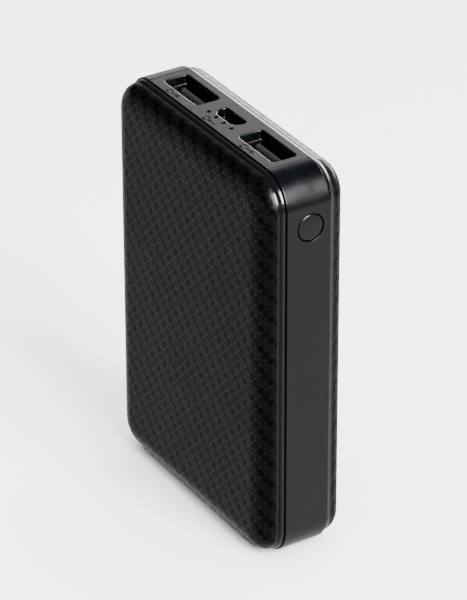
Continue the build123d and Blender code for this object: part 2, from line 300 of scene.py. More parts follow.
def box_mesh(bm: BMesh, low: Vector, high: Vector, round_by: float = 0.0, steps: int = 2) -> None:
    """Box between two corners, its edges rounded.

    Args:
        bm: mesh that receives the box.
        low: lowest corner.
        high: highest corner.
        round_by: radius of every edge.
        steps: segments of each rounded edge.
    """
    made = bmesh.ops.create_cube(bm, size=1.0)
    verts = made["verts"]
    bmesh.ops.scale(bm, vec=high - low, verts=verts)
    bmesh.ops.translate(bm, vec=(low + high) / 2, verts=verts)
    if round_by:
        soften(bm, dict.fromkeys(e for v in verts for e in v.link_edges), round_by, steps)


def finish_mesh(bm: BMesh, name: str, sharp_deg: float = CRISP_DEG) -> bpy.types.Object:
    """Turns a bmesh into a linked object with outward faces and shaded edges.

    Args:
        bm: the finished bmesh, which is freed.
        name: name of the piece.
        sharp_deg: edges that turn by more than this stay crisp.

    Returns:
        The new object, at the origin.
    """
    bmesh.ops.remove_doubles(bm, verts=list(bm.verts), dist=SAME_POINT)
    bmesh.ops.recalc_face_normals(bm, faces=list(bm.faces))
    shade_by_angle(bm, sharp_deg)
    mesh = bpy.data.meshes.new(name)
    bm.to_mesh(mesh)
    bm.free()
    piece = bpy.data.objects.new(name, mesh)
    bpy.context.scene.collection.objects.link(piece)
    return piece


def shade_by_angle(bm: BMesh, sharp_deg: float) -> None:
    """Smooth faces, with crisp edges where the surface turns sharply.

    Args:
        bm: mesh to shade.
        sharp_deg: turn from which an edge is crisp.
    """
    limit = math.radians(sharp_deg)
    for face in bm.faces:
        face.smooth = True
    for edge in bm.edges:
        edge.smooth = edge.is_manifold and edge.calc_face_angle(0.0) < limit


class Cut(Enum):
    """What a second solid does to a first one."""

    TAKE_AWAY = "DIFFERENCE"
    ADD = "UNION"


def combine(piece: bpy.types.Object, tool: bpy.types.Object, how: Cut) -> None:
    """Applies a Boolean to a piece and removes the second solid.

    Args:
        piece: the piece that changes.
        tool: the solid that is taken away or added.
        how: which of the two.
    """
    modifier = piece.modifiers.new("combine", "BOOLEAN")
    modifier.operation = how.value
    modifier.solver = "EXACT"
    modifier.use_self = True
    modifier.object = tool
    graph = bpy.context.evaluated_depsgraph_get()
    result = bpy.data.meshes.new_from_object(piece.evaluated_get(graph))
    piece.modifiers.clear()
    old = piece.data
    piece.data = result
    bpy.data.meshes.remove(old)
    bpy.data.objects.remove(tool)


def reshade(piece: bpy.types.Object) -> None:
    """Merges a piece's doubles after a Boolean and shades it again.

    Args:
        piece: the piece that was cut.
    """
    bm = bmesh.new()
    bm.from_mesh(piece.data)
    bmesh.ops.remove_doubles(bm, verts=list(bm.verts), dist=SAME_AFTER_CUT)
    bmesh.ops.dissolve_degenerate(bm, dist=SAME_POINT, edges=list(bm.edges))
    shade_by_angle(bm, CRISP_DEG)
    bm.to_mesh(piece.data)
    bm.free()


def even_normals(piece: bpy.types.Object) -> None:
    """Weights the normals by face area, so that flat faces look flat.

    Args:
        piece: the piece to shade.
    """
    modifier = piece.modifiers.new("even_normals", "WEIGHTED_NORMAL")
    modifier.keep_sharp = True
    modifier.weight = 100


def merge_into(bm: BMesh, part: BMesh) -> None:
    """Adds one bmesh to another and frees it.

    Args:
        bm: mesh that grows.
        part: mesh that is added, and no longer usable afterwards.
    """
    scratch = bpy.data.meshes.new("part")
    part.to_mesh(scratch)
    part.free()
    bm.from_mesh(scratch)
    bpy.data.meshes.remove(scratch)


def repaint(node: str, material: bpy.types.Material) -> None:
    """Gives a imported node, whose shape is kept, another material.

    Args:
        node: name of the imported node.
        material: its new material.
    """
    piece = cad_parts[node]
    piece.data.materials.clear()
    piece.data.materials.append(material)
    LOG.info("%s keeps its packed shape", node)


def dress(
    piece: bpy.types.Object,
    body: str,
    materials: Sequence[bpy.types.Material],
    nodes: Sequence[str] = (),
) -> None:
    """Gives a piece its materials, its body and the nodes it stands for.

    Args:
        piece: the new piece.
        body: CAD body that it moves with.
        materials: its materials, in the order of its faces' indices.
        nodes: CAD nodes that it replaces.
    """
    for material in materials:
        piece.data.materials.append(material)
    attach(piece, body)
    if nodes:
        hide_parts(*nodes)
    LOG.info("%s: %d faces on %s", piece.name, len(piece.data.polygons), body)


# ---------------------------------------------------------------------------
# Finishes
# ---------------------------------------------------------------------------


class NodeBench:
    """Math and range nodes on one node tree."""

    def __init__(self, tree: bpy.types.NodeTree) -> None:
        """Takes over an empty node tree."""
        self.tree = tree
        self.tree.nodes.clear()

    def feed(self, socket: Socket, value: Value | Color) -> None:
        """Links a socket to another one, or sets its own value.

        Args:
            socket: input of a node.
            value: where it comes from, or what it is.
        """
        if isinstance(value, bpy.types.NodeSocket):
            self.tree.links.new(value, socket)
        else:
            socket.default_value = value

    def math(self, operation: str, first: Value, second: Value = 0.0) -> Socket:
        """One Math node.

        Args:
            operation: name of the Math operation.
            first: first value.
            second: second value.

        Returns:
            The node's output.
        """
        node = self.tree.nodes.new("ShaderNodeMath")
        node.operation = operation
        self.feed(node.inputs[0], first)
        self.feed(node.inputs[1], second)
        return node.outputs[0]

    def times(self, first: Value, *others: Value) -> Socket:
        """Product of several values.

        Args:
            first: first value.
            others: what it is multiplied by.

        Returns:
            The product.
        """
        for other in others:
            first = self.math("MULTIPLY", first, other)
        return first

    def span(self, value: Socket, source: Pair, target: Pair) -> Socket:
        """Value carried smoothly from one range to another.

        Args:
            value: what is carried over.
            source: its range.
            target: the new range.

        Returns:
            The new value, held inside the target range.
        """
        node = self.tree.nodes.new("ShaderNodeMapRange")
        node.interpolation_type = "SMOOTHSTEP"
        self.tree.links.new(value, node.inputs["Value"])
        node.inputs["From Min"].default_value, node.inputs["From Max"].default_value = source
        node.inputs["To Min"].default_value, node.inputs["To Max"].default_value = target
        return node.outputs["Result"]

    def split(self, vector: Socket) -> tuple[Socket, Socket, Socket]:
        """The three parts of a vector.

        Args:
            vector: a vector output.

        Returns:
            Its X, Y and Z.
        """
        node = self.tree.nodes.new("ShaderNodeSeparateXYZ")
        self.tree.links.new(vector, node.inputs[0])
        return node.outputs[0], node.outputs[1], node.outputs[2]


class Recipe(NodeBench):
    """A material with one Principled shader, and short ways to feed it."""

    def __init__(self, name: str) -> None:
        """Starts an empty material.

        Args:
            name: the material's name.
        """
        self.material = bpy.data.materials.new(name)
        self.material.use_nodes = True
        super().__init__(self.material.node_tree)
        output = self.tree.nodes.new("ShaderNodeOutputMaterial")
        self.shader = self.tree.nodes.new("ShaderNodeBsdfPrincipled")
        self.tree.links.new(self.shader.outputs["BSDF"], output.inputs["Surface"])
        self.place = self.tree.nodes.new("ShaderNodeTexCoord").outputs["Object"]

    def set(self, **values: float) -> None:
        """Sets constants on the shader's own sockets, named with underscores."""
        for name, value in values.items():
            self.shader.inputs[name.replace("_", " ")].default_value = value

    def base_color(self, value: Socket) -> None:
        """Links the shader's base colour."""
        self.feed(self.shader.inputs["Base Color"], value)

    def roughness(self, value: Value) -> None:
        """Sets or links the shader's roughness."""
        self.feed(self.shader.inputs["Roughness"], value)

    def noise(self, size_mm: float, detail: float = 3.0, stretch: Color = (1.0, 1.0, 1.0)) -> Socket:
        """Noise whose features are about a given size.

        Args:
            size_mm: size of the largest features in millimetres.
            detail: levels of finer detail.
            stretch: how much denser the noise is along each axis.

        Returns:
            The noise, from 0 to 1.
        """
        mapping = self.tree.nodes.new("ShaderNodeMapping")
        mapping.inputs["Scale"].default_value = stretch
        self.tree.links.new(self.place, mapping.inputs["Vector"])
        node = self.tree.nodes.new("ShaderNodeTexNoise")
        node.inputs["Scale"].default_value = 1.0 / (size_mm * MM)
        node.inputs["Detail"].default_value = detail
        self.tree.links.new(mapping.outputs[0], node.inputs["Vector"])
        return node.outputs["Fac"]

    def blend_color(self, share: Socket, low: Socket | Color, high: Socket | Color) -> Socket:
        """Colour between two others.

        Args:
            share: 0 for the first colour, 1 for the second.
            low: first colour.
            high: second colour.

        Returns:
            The mixed colour.
        """
        node = self.tree.nodes.new("ShaderNodeMix")
        node.data_type = "RGBA"
        self.tree.links.new(share, node.inputs["Factor"])
        for name, value in (("A", low), ("B", high)):
            socket = next(s for s in node.inputs if s.name == name and s.type == "RGBA")
            self.feed(socket, (*value, 1.0) if isinstance(value, tuple) else value)
        return next(s for s in node.outputs if s.type == "RGBA")

    def bump(self, height: Socket, depth_mm: float, under: Socket | None = None) -> Socket:
        """Adds a bump to the shader's normal.

        Args:
            height: height from 0 to 1.
            depth_mm: depth of the relief in millimetres.
            under: normal of a coarser bump that this one lies on.

        Returns:
            The new normal, already linked to the shader.
        """
        node = self.tree.nodes.new("ShaderNodeBump")
        node.inputs["Strength"].default_value = 1.0
        node.inputs["Distance"].default_value = depth_mm * MM
        self.tree.links.new(height, node.inputs["Height"])
        if under is not None:
            self.tree.links.new(under, node.inputs["Normal"])
        self.tree.links.new(node.outputs["Normal"], self.shader.inputs["Normal"])
        return node.outputs["Normal"]


@dataclass(frozen=True)
class MouldedPlastic:
    """Moulded plastic: a fine surface grain, slow colour drift and handling marks."""

    name: str
    color: Color
    drift_color: Color
    roughness: Pair
    grain_mm: float
    grain_depth_mm: float
    specular: float = 0.5
    drift_mm: float = 9.0
    wear_mm: float = 2.2

    def make(self) -> bpy.types.Material:
        """Builds the material.

        Returns:
            The material.
        """
        recipe = Recipe(self.name)
        drift = recipe.noise(self.drift_mm, 2.0)
        recipe.base_color(recipe.blend_color(drift, self.color, self.drift_color))
        wear = recipe.noise(self.wear_mm, 5.0)
        recipe.roughness(recipe.span(wear, (0.3, 0.72), self.roughness))
        recipe.set(Specular_IOR_Level=self.specular)
        recipe.bump(recipe.noise(self.grain_mm, 2.0), self.grain_depth_mm)
        return recipe.material


@dataclass(frozen=True)
class PlatedSheet:
    """Plated or bare metal sheet with fine drawing lines and dull patches."""

    name: str
    color: Color
    tarnish: Color
    roughness: Pair
    patch_mm: float = 1.6
    line_mm: float = 0.08
    line_stretch: Color = (1.0, 1.0, 0.04)
    line_depth_mm: float = 0.002

    def make(self) -> bpy.types.Material:
        """Builds the material.

        Returns:
            The material.
        """
        recipe = Recipe(self.name)
        patches = recipe.noise(self.patch_mm, 4.0)
        recipe.base_color(recipe.blend_color(patches, self.color, self.tarnish))
        lines = recipe.noise(self.line_mm, 2.0, self.line_stretch)
        recipe.roughness(recipe.span(lines, (0.25, 0.75), self.roughness))
        recipe.set(Metallic=1.0)
        recipe.bump(lines, self.line_depth_mm)
        return recipe.material


@dataclass(frozen=True)
class WovenGloss:
    """Glossy black plastic with a twill of round pads, read from the cover's own map.

    The map's unit is the distance between two pads in one row. Its dark and light pads are painted shade
    and painted reflection, and its pale pips are painted glints.
    """

    name: str
    painted_shade_pad: Color
    painted_sheen_pad: Color
    pip_and_glint: Color
    roughness_dark: float
    roughness_light: float
    dark_row_tone: float = 0.3
    light_row_loss: float = 0.35
    gap_tone: float = 0.75
    drift_mm: float = 13.0
    smear_mm: float = 3.5
    smear: float = 0.04
    specular: Pair = (0.085, 0.19)
    pip_specular: float = 0.42
    threads_per_pad: float = 9.0
    thread_depth_mm: float = 0.0035
    pip_depth_mm: float = 0.02
    roll: Pair = (8.4 * MM, 10.3 * MM)
    roll_share: Pair = (0.12, 1.0)

    def make(self) -> bpy.types.Material:
        """Builds the material.

        Returns:
            The material.
        """
        recipe = Recipe(self.name)
        uv_map = recipe.tree.nodes.new("ShaderNodeUVMap")
        uv_map.uv_map = WovenCover.MAP_NAME
        across, along, _ = recipe.split(uv_map.outputs[0])
        first = recipe.math("ADD", across, along)
        second = recipe.math("SUBTRACT", across, along)
        first_in = recipe.math("SUBTRACT", recipe.math("FRACT", first), 0.5)
        second_in = recipe.math("SUBTRACT", recipe.math("FRACT", second), 0.5)
        inside = recipe.span(self.length(recipe, first_in, second_in), (0.36, 0.52), (1.0, 0.0))
        tone = self.tone(recipe, first, second, inside)
        _, depth, _ = recipe.split(recipe.place)
        on_face = recipe.span(recipe.math("ABSOLUTE", depth), self.roll, self.roll_share)
        # The pips' pale colour is a painted glint, faded towards the roll; the pads' two colours are
        # painted shade and painted reflection.
        pip_and_glint = recipe.times(self.pips(recipe, first_in, second_in), on_face)
        pad_shade_and_sheen = recipe.blend_color(tone, self.painted_shade_pad, self.painted_sheen_pad)
        recipe.base_color(recipe.blend_color(pip_and_glint, pad_shade_and_sheen, self.pip_and_glint))
        smear = recipe.span(recipe.noise(self.smear_mm, 4.0), NOISE_SPAN, (-self.smear, self.smear))
        rough = recipe.span(tone, (0.0, 1.0), (self.roughness_dark, self.roughness_light))
        recipe.roughness(recipe.math("ADD", rough, smear))
        shine = recipe.span(tone, (0.0, 1.0), self.specular)
        extra = recipe.times(pip_and_glint, self.pip_specular)
        recipe.feed(recipe.shader.inputs["Specular IOR Level"], recipe.math("ADD", shine, extra))
        threads = recipe.math("SINE", recipe.times(second, self.threads_per_pad * math.tau))
        under = recipe.bump(pip_and_glint, self.pip_depth_mm)
        recipe.bump(recipe.times(threads, inside), self.thread_depth_mm, under)
        return recipe.material

    def tone(self, recipe: Recipe, first: Socket, second: Socket, inside: Socket) -> Socket:
        """Tone of the weave, painted shade and painted reflection: dark and light rows of pads, and the
        ground between them.

        Args:
            recipe: the material in the making.
            first: coordinate across the rows, which changes tone at each whole number.
            second: coordinate along the rows.
            inside: 1 on a pad and 0 beside it.

        Returns:
            The tone, from 0 to 1.
        """
        light_row = recipe.math("PINGPONG", recipe.math("FLOOR", first), 1.0)
        every_other = recipe.math("PINGPONG", recipe.math("FLOOR", second), 1.0)
        dark_tone = recipe.times(every_other, self.dark_row_tone)
        light_tone = recipe.math("SUBTRACT", 1.0, recipe.times(every_other, self.light_row_loss))
        pad_tone = recipe.math("MAXIMUM", recipe.times(light_row, light_tone), dark_tone)
        ground = recipe.times(recipe.math("SUBTRACT", 1.0, inside), self.gap_tone)
        tone = recipe.math("MAXIMUM", recipe.times(pad_tone, inside), ground)
        drift = recipe.span(recipe.noise(self.drift_mm, 2.0), NOISE_SPAN, (0.72, 1.0))
        return recipe.times(tone, drift)

    @staticmethod
    def length(recipe: Recipe, first: Socket, second: Socket) -> Socket:
        """Distance from the origin to (first, second)."""
        squares = recipe.math("ADD", recipe.times(first, first), recipe.times(second, second))
        return recipe.math("SQRT", squares)

    @classmethod
    def pips(cls, recipe: Recipe, first_in: Socket, second_in: Socket) -> Socket:
        """Small oval pip between every four pads, from 0 to 1, which shapes a bump and places a painted
        glint.

        Args:
            recipe: the nodes of the material.
            first_in: place inside a pad along one weave direction.
            second_in: the same along the other.

        Returns:
            The height of the pip as a share.
        """
        first = recipe.math("SUBTRACT", 0.5, recipe.math("ABSOLUTE", first_in))
        second = recipe.math("SUBTRACT", 0.5, recipe.math("ABSOLUTE", second_in))
        distance = cls.length(recipe, recipe.times(first, 0.7), second)
        return recipe.span(distance, (0.05, 0.14), (1.0, 0.0))


@dataclass(frozen=True)
class SolderMask:
    """Green board lacquer with copper tracks showing as faint ridges."""

    name: str
    color: Color
    track_color: Color
    track_density: float = 900.0
    track_width: float = 0.06
    track_height_mm: float = 0.03

    def make(self) -> bpy.types.Material:
        """Builds the material.

        Returns:
            The material.
        """
        recipe = Recipe(self.name)
        tree = recipe.tree
        bricks = tree.nodes.new("ShaderNodeTexBrick")
        turn = tree.nodes.new("ShaderNodeMapping")
        turn.inputs["Rotation"].default_value = (math.pi / 2, 0.0, 0.0)
        tree.links.new(recipe.place, turn.inputs["Vector"])
        tree.links.new(turn.outputs[0], bricks.inputs["Vector"])
        bricks.inputs["Scale"].default_value = self.track_density
        bricks.inputs["Mortar Size"].default_value = self.track_width
        tracks = bricks.outputs["Fac"]
        recipe.base_color(recipe.blend_color(tracks, self.color, self.track_color))
        recipe.roughness(recipe.span(recipe.noise(1.5, 4.0), NOISE_SPAN, (0.18, 0.32)))
        recipe.bump(tracks, self.track_height_mm)
        return recipe.material


@dataclass(frozen=True)
class PouchFoil:
    """Crinkled aluminium-laminate foil of a battery pouch."""

    name: str
    color: Color
    shade_color: Color
    crease_mm: float = 14.0
    crease_depth_mm: float = 0.25
    grain_mm: float = 0.5
    grain_depth_mm: float = 0.01

    def make(self) -> bpy.types.Material:
        """Builds the material.

        Returns:
            The material.
        """
        recipe = Recipe(self.name)
        recipe.base_color(recipe.blend_color(recipe.noise(12.0, 3.0), self.color, self.shade_color))
        recipe.roughness(recipe.span(recipe.noise(2.0, 4.0), NOISE_SPAN, (0.25, 0.42)))
        recipe.set(Metallic=0.85)
        under = recipe.bump(recipe.noise(self.crease_mm, 4.0), self.crease_depth_mm)
        recipe.bump(recipe.noise(self.grain_mm, 2.0), self.grain_depth_mm, under)
        return recipe.material


@dataclass(frozen=True)
class ShadedAcrylic:
    """Near-black moulded acrylic, slightly frosted; its darkness is painted shade in the lamp holes."""

    name: str
    color: Color
    drift_color: Color
    grain_mm: float = 0.15
    grain_depth_mm: float = 0.003

    def make(self) -> bpy.types.Material:
        """Builds the material.

        Returns:
            The material.
        """
        recipe = Recipe(self.name)
        recipe.base_color(recipe.blend_color(recipe.noise(1.0, 2.0), self.color, self.drift_color))
        recipe.roughness(recipe.span(recipe.noise(0.4, 3.0), NOISE_SPAN, (0.12, 0.25)))
        recipe.set(Transmission_Weight=0.25, IOR=1.49, Specular_IOR_Level=0.12)
        recipe.bump(recipe.noise(self.grain_mm, 2.0), self.grain_depth_mm)
        return recipe.material


class Finish(Enum):
    """The finishes of the power bank's pieces."""

    # Pad colours are painted shade and painted reflection; the pip colour is a painted glint.
    WEAVE = WovenGloss(
        name="woven_gloss_black",
        painted_shade_pad=(0.0004, 0.0004, 0.0006),
        painted_sheen_pad=(0.0015, 0.0015, 0.0015),
        pip_and_glint=(0.0045, 0.0044, 0.0043),
        roughness_dark=0.22,
        roughness_light=0.34,
    )
    RIM = MouldedPlastic(
        "polished_rim_black", (0.0016, 0.0016, 0.0018), (0.0024, 0.0024, 0.0026),
        (0.10, 0.17), 0.5, 0.0006,
    )
    FRAME = MouldedPlastic(
        "satin_frame_black", (0.0003, 0.0004, 0.0010), (0.0005, 0.0006, 0.0015),
        (0.22, 0.27), 0.10, 0.0007,
    )
    PANEL = MouldedPlastic(
        "satin_panel_black", (0.0010, 0.0008, 0.0009), (0.0015, 0.0012, 0.0013),
        (0.23, 0.28), 0.14, 0.00016,
    )
    MARK = MouldedPlastic(
        "sunk_mark_black", (0.001, 0.001, 0.001), (0.0015, 0.0015, 0.0015),
        (0.10, 0.16), 0.3, 0.0004, specular=0.08,
    )
    # Mouth walls: the panel's plastic made darker and duller, painted shade in the port mouths.
    MOUTH_SHADE = MouldedPlastic(
        "mouth_wall_painted_shade", (0.0005, 0.0006, 0.0011), (0.0008, 0.0009, 0.0015),
        (0.16, 0.24), 0.3, 0.0003, specular=0.16,
    )
    BUTTON = MouldedPlastic(
        "satin_button_black", (0.0003, 0.0004, 0.0009), (0.0005, 0.0006, 0.0012),
        (0.24, 0.28), 0.10, 0.0003,
    )
    INSULATOR = MouldedPlastic(
        "port_insulator_black", (0.008, 0.0075, 0.0075), (0.012, 0.011, 0.0105),
        (0.35, 0.5), 0.12, 0.002,
    )
    # Port shell: plating darkened far below bare metal, painted shade inside the ports; the patches vary
    # at random.
    SHELL = PlatedSheet("port_shell_painted_shade", (0.11, 0.084, 0.06), (0.05, 0.038, 0.028), (0.18, 0.34))
    CONTACT = PlatedSheet("contact_gold_flash", (0.46, 0.30, 0.13), (0.34, 0.21, 0.09), (0.18, 0.32))
    # Light guide tinted near black: painted shade in the lamp holes.
    GUIDE = ShadedAcrylic("light_guide_painted_shade", (0.006, 0.006, 0.008), (0.010, 0.010, 0.012))
    BOARD = SolderMask("board_solder_mask", (0.012, 0.075, 0.028), (0.03, 0.14, 0.05))
    PACKAGE = MouldedPlastic(
        "chip_package", (0.018, 0.018, 0.02), (0.026, 0.026, 0.028), (0.4, 0.55), 0.06, 0.004
    )
    FERRITE = MouldedPlastic(
        "pressed_ferrite", (0.07, 0.07, 0.075), (0.10, 0.10, 0.10), (0.5, 0.65), 0.08, 0.01
    )
    CERAMIC = MouldedPlastic(
        "fired_ceramic", (0.42, 0.27, 0.16), (0.50, 0.34, 0.21), (0.4, 0.5), 0.1, 0.004
    )
    LAMP = MouldedPlastic(
        "lamp_package", (0.75, 0.74, 0.60), (0.85, 0.84, 0.72), (0.3, 0.4), 0.2, 0.003
    )
    SCREW = PlatedSheet("screw_zinc", (0.62, 0.62, 0.64), (0.50, 0.50, 0.53), (0.25, 0.4))
    NICKEL = PlatedSheet("nickel_strip", (0.66, 0.64, 0.60), (0.55, 0.53, 0.49), (0.25, 0.38))
    FOIL = PouchFoil("pouch_foil", (0.66, 0.67, 0.69), (0.528, 0.536, 0.552))
    FOAM = MouldedPlastic(
        "closed_cell_foam", (0.03, 0.03, 0.03), (0.045, 0.045, 0.045), (0.8, 0.95), 0.3, 0.06
    )
    ADHESIVE = MouldedPlastic(
        "adhesive_pad", (0.62, 0.62, 0.56), (0.70, 0.70, 0.64), (0.5, 0.7), 0.4, 0.03
    )
    CARD = MouldedPlastic(
        "insulating_card", (0.42, 0.47, 0.42), (0.50, 0.54, 0.49), (0.5, 0.65), 0.25, 0.012
    )
    SWITCH = MouldedPlastic(
        "switch_nylon", (0.035, 0.035, 0.035), (0.05, 0.05, 0.05), (0.4, 0.5), 0.1, 0.003
    )
    PIN = MouldedPlastic(
        "plunger_nylon", (0.45, 0.31, 0.13), (0.52, 0.37, 0.17), (0.35, 0.5), 0.1, 0.003
    )

    def material(self) -> bpy.types.Material:
        """The finish's material, made once."""
        found = bpy.data.materials.get(self.value.name)
        return found if found else self.value.make()


# ---------------------------------------------------------------------------
# Case
# ---------------------------------------------------------------------------


@dataclass(frozen=True)
class CaseOutline:
    """Rounded rectangle that the frame and both covers are drawn from."""

    half_width: float
    height: float
    radius: float = 7.4 * MM
    corner_steps: int = 20

    @property
    def middle(self) -> float:
        """Height of the outline's centre."""
        return self.height / 2

    @property
    def core(self) -> Pair:
        """Half sizes of the rectangle through the four corner centres."""
        return self.half_width - self.radius, self.height / 2 - self.radius

    def face(self, bm: BMesh, inset: float, y: float) -> BMFace:
        """Face of the outline, drawn in by an inset.

        Args:
            bm: mesh that receives the face.
            inset: distance from the outline to the face's edge.
            y: its depth.

        Returns:
            The new face, whose normal is along -Y.
        """
        half = (self.half_width - inset, self.height / 2 - inset)
        place = Matrix.Translation((0.0, y, self.middle)) @ Matrix.Rotation(math.pi / 2, 4, "X")
        return rounded_face(bm, half, self.radius - inset, place, self.corner_steps)


class CoverSide(Enum):
    """The two covers, by the sign of the Y axis that they face."""

    FRONT = -1
    REAR = 1


@dataclass
class WovenCover:
    """One cover: a shell with a real relief of pads, a plain rim and an inner wall."""

    MAP_NAME: ClassVar[str] = "weave"

    outline: CaseOutline
    side: CoverSide
    face_y: float
    seam_y: float
    rim_height: float = 1.25 * MM
    inset: float = 0.35 * MM
    rim_slope: float = 0.4 * MM
    reach: float = 5.5 * MM
    wall: float = 1.5 * MM
    pad_pitch: float = 2.56 * MM
    weave_shift: Pair = (0.96 * MM, 0.64 * MM)
    pad_depth: float = 0.026 * MM
    pip_rise: float = 0.035 * MM
    pip_reach: float = 0.2
    pad_tilt: float = 0.012 * MM
    grid_step: float = 0.32 * MM
    relief_fade: float = 1.2
    groove: float = 0.045 * MM
    seam_turn: float = 0.08 * MM
    inner_step: float = 3.0 * MM
    inner_gain: float = 0.15 * MM
    inner_tighter: float = 0.8 * MM
    rim_stand: float = 0.03 * MM
    rim_draft: float = 0.02 * MM

    def profile(self) -> list[Ring]:
        """Section from the flat face to the seam.

        Returns:
            Rings as (distance from the core, depth, unrolled distance, relief share).
        """
        core_reach = self.outline.radius - self.inset - self.rim_slope - self.reach
        rise = self.face_y - self.seam_y - self.rim_height
        base = self.face_y - rise
        arc = quarter_angles(240)
        fine = [(core_reach + self.reach * math.sin(a), base + rise * math.cos(a)) for a in arc]
        lengths = [core_reach]
        for before, after in zip(fine, fine[1:]):
            lengths.append(lengths[-1] + math.dist(before, after))
        count = round(lengths[-1] / self.grid_step)
        rings = []
        for k in range(1, count + 1):
            length = lengths[-1] * k / count
            if length <= core_reach:
                rings.append((length, self.face_y, length, 1.0))
                continue
            i = next(j for j, value in enumerate(lengths) if value >= length - 1e-12)
            fade = min(1.0, (lengths[-1] - length) / (self.relief_fade * self.grid_step))
            rings.append((*fine[i], length, fade))
        return rings + self.rim_rings(rings[-1])

    def rim_rings(self, last: Ring) -> list[Ring]:
        """Rings of the fine groove, the plain rim and the return at the seam.

        Args:
            last: the last ring of the dome.

        Returns:
            Rings without relief, as in profile().
        """
        far, depth, length, _ = last
        edge = self.outline.radius - self.inset
        turn = self.seam_turn
        points = [
            (far - self.groove, depth - 0.3 * self.groove),
            (far - self.groove, depth - 1.3 * self.groove),
            (far + self.rim_stand, depth - 2.0 * self.groove),
            (edge - self.rim_draft, self.seam_y + turn),
            (edge - 0.3 * turn, self.seam_y + 0.3 * turn),
            (edge - turn, self.seam_y),
            (edge - self.wall, self.seam_y),
        ]
        return [(d, y, length, 0.0) for d, y in points]

    def relief(self, across: float, along: float, level: float) -> float:
        """Depth of the pads below their tops.

        Args:
            across: unrolled distance from the face's middle along X.
            along: the same along Z.
            level: 1 on the flat face, 0 where the surface stands upright.

        Returns:
            A distance of zero or less.
        """
        across, along = across + self.weave_shift[0], along + self.weave_shift[1]
        first = (across + along) / self.pad_pitch
        second = (across - along) / self.pad_pitch
        first_in, second_in = first % 1.0 - 0.5, second % 1.0 - 0.5
        dome = min(1.0, 4.0 * (first_in**2 + second_in**2))
        light = math.floor(first) % 2 != 0
        lean = (1.0 if light else -1.0) * first_in * self.pad_tilt
        from_pip = math.hypot(0.5 - abs(first_in), 0.5 - abs(second_in))
        pip_and_glint = self.pip_rise * level**3 * max(0.0, 1.0 - from_pip / self.pip_reach)
        return -self.pad_depth * dome + lean - 0.5 * self.pad_tilt + pip_and_glint - self.pip_rise / 2

    def grid(self, bm: BMesh, rings: Sequence[Ring], step: float, woven: bool) -> None:
        """Maps a flat grid over the dome: a plain core with rings of faces round it.

        Args:
            bm: empty mesh that receives the surface.
            rings: section of the surface, as from profile().
            step: size of the core's faces.
            woven: whether the surface carries the relief and its map.
        """
        core_x, core_z = self.outline.core
        cells_x, cells_z = round(2 * core_x / step), round(2 * core_z / step)
        reach = len(rings)
        segments_x, segments_z = cells_x + 2 * reach, cells_z + 2 * reach
        bmesh.ops.create_grid(bm, x_segments=segments_x, y_segments=segments_z, size=1.0)
        weave = bm.loops.layers.uv.new(self.MAP_NAME)
        flat = {}
        plain = [(0.0, rings[0][1], 0.0, 1.0), *rings]
        normals = section_normals([(r[0], r[1]) for r in plain])
        for vert in bm.verts:
            px, kx, sx = grid_axis(vert.co.x, cells_x, reach, core_x)
            pz, kz, sz = grid_axis(vert.co.y, cells_z, reach, core_z)
            k = max(kx, kz)
            toward = corner_direction(kx, kz, sx, sz)
            far, depth, length, share = plain[k]
            across, along = px + toward.x * length, pz + toward.y * length
            out, up = normals[k]
            push = self.relief(across, along, abs(up)) * share if woven else 0.0
            far += out * push
            depth += up * push
            flat[vert] = (across, along, k)
            x, z = px + toward.x * far, self.outline.middle + pz + toward.y * far
            vert.co = Vector((x, self.side.value * depth, z))
        last_woven = max((k for k, ring in enumerate(plain) if ring[3] > 0), default=0)
        for face in bm.faces:
            face.material_index = 1 if max(flat[v][2] for v in face.verts) > last_woven else 0
            for loop in face.loops:
                across, along, _ = flat[loop.vert]
                across, along = across + self.weave_shift[0], along + self.weave_shift[1]
                loop[weave].uv = (across / self.pad_pitch, along / self.pad_pitch)

    def build(self) -> bpy.types.Object:
        """Builds the shell: the woven outside, the plain inside and the seam between.

        Returns:
            The cover.
        """
        rings = self.profile()
        bm = bmesh.new()
        self.grid(bm, rings, self.grid_step, woven=True)
        outer_edges = [e for e in bm.edges if e.is_boundary]
        inner = bmesh.new()
        self.grid(inner, self.inner_rings(), self.inner_step, woven=False)
        for face in inner.faces:
            face.material_index = 1
        merge_into(bm, inner)
        known = set(outer_edges)
        inner_edges = [e for e in bm.edges if e.is_boundary and e not in known]
        made = bmesh.ops.bridge_loops(bm, edges=outer_edges + inner_edges)
        for face in made["faces"]:
            face.material_index = 1
        name = f"{self.side.name.lower()}_cover_shell"
        return finish_mesh(bm, name, sharp_deg=50.0)

    def inner_rings(self) -> list[Ring]:
        """Section of the inner wall, from its flat middle to the seam.

        Returns:
            Rings as in profile(), without relief.
        """
        edge = self.outline.radius - self.inset - self.rim_slope - self.wall + self.inner_gain
        reach = self.reach - self.inner_tighter
        base = self.seam_y + self.rim_height
        rise = self.face_y - self.wall - base
        rings = []
        for angle in quarter_angles(6):
            far = edge - reach + reach * math.sin(angle)
            rings.append((far, base + rise * math.cos(angle), far, 0.0))
        rings.append((edge, self.seam_y, edge, 0.0))
        return rings

    def dress(self, piece: bpy.types.Object) -> None:
        """Gives the cover its woven and its polished finish.

        Args:
            piece: the cover, with its relief.
        """
        node = f"{self.side.name.lower()}_cover"
        materials = [Finish.WEAVE.material(), Finish.RIM.material()]
        dress(piece, CASE_BODY, materials, [node])


def quarter_angles(steps: int) -> list[float]:
    """Angles from 0 to a right angle."""
    return [math.pi / 2 * i / steps for i in range(steps + 1)]


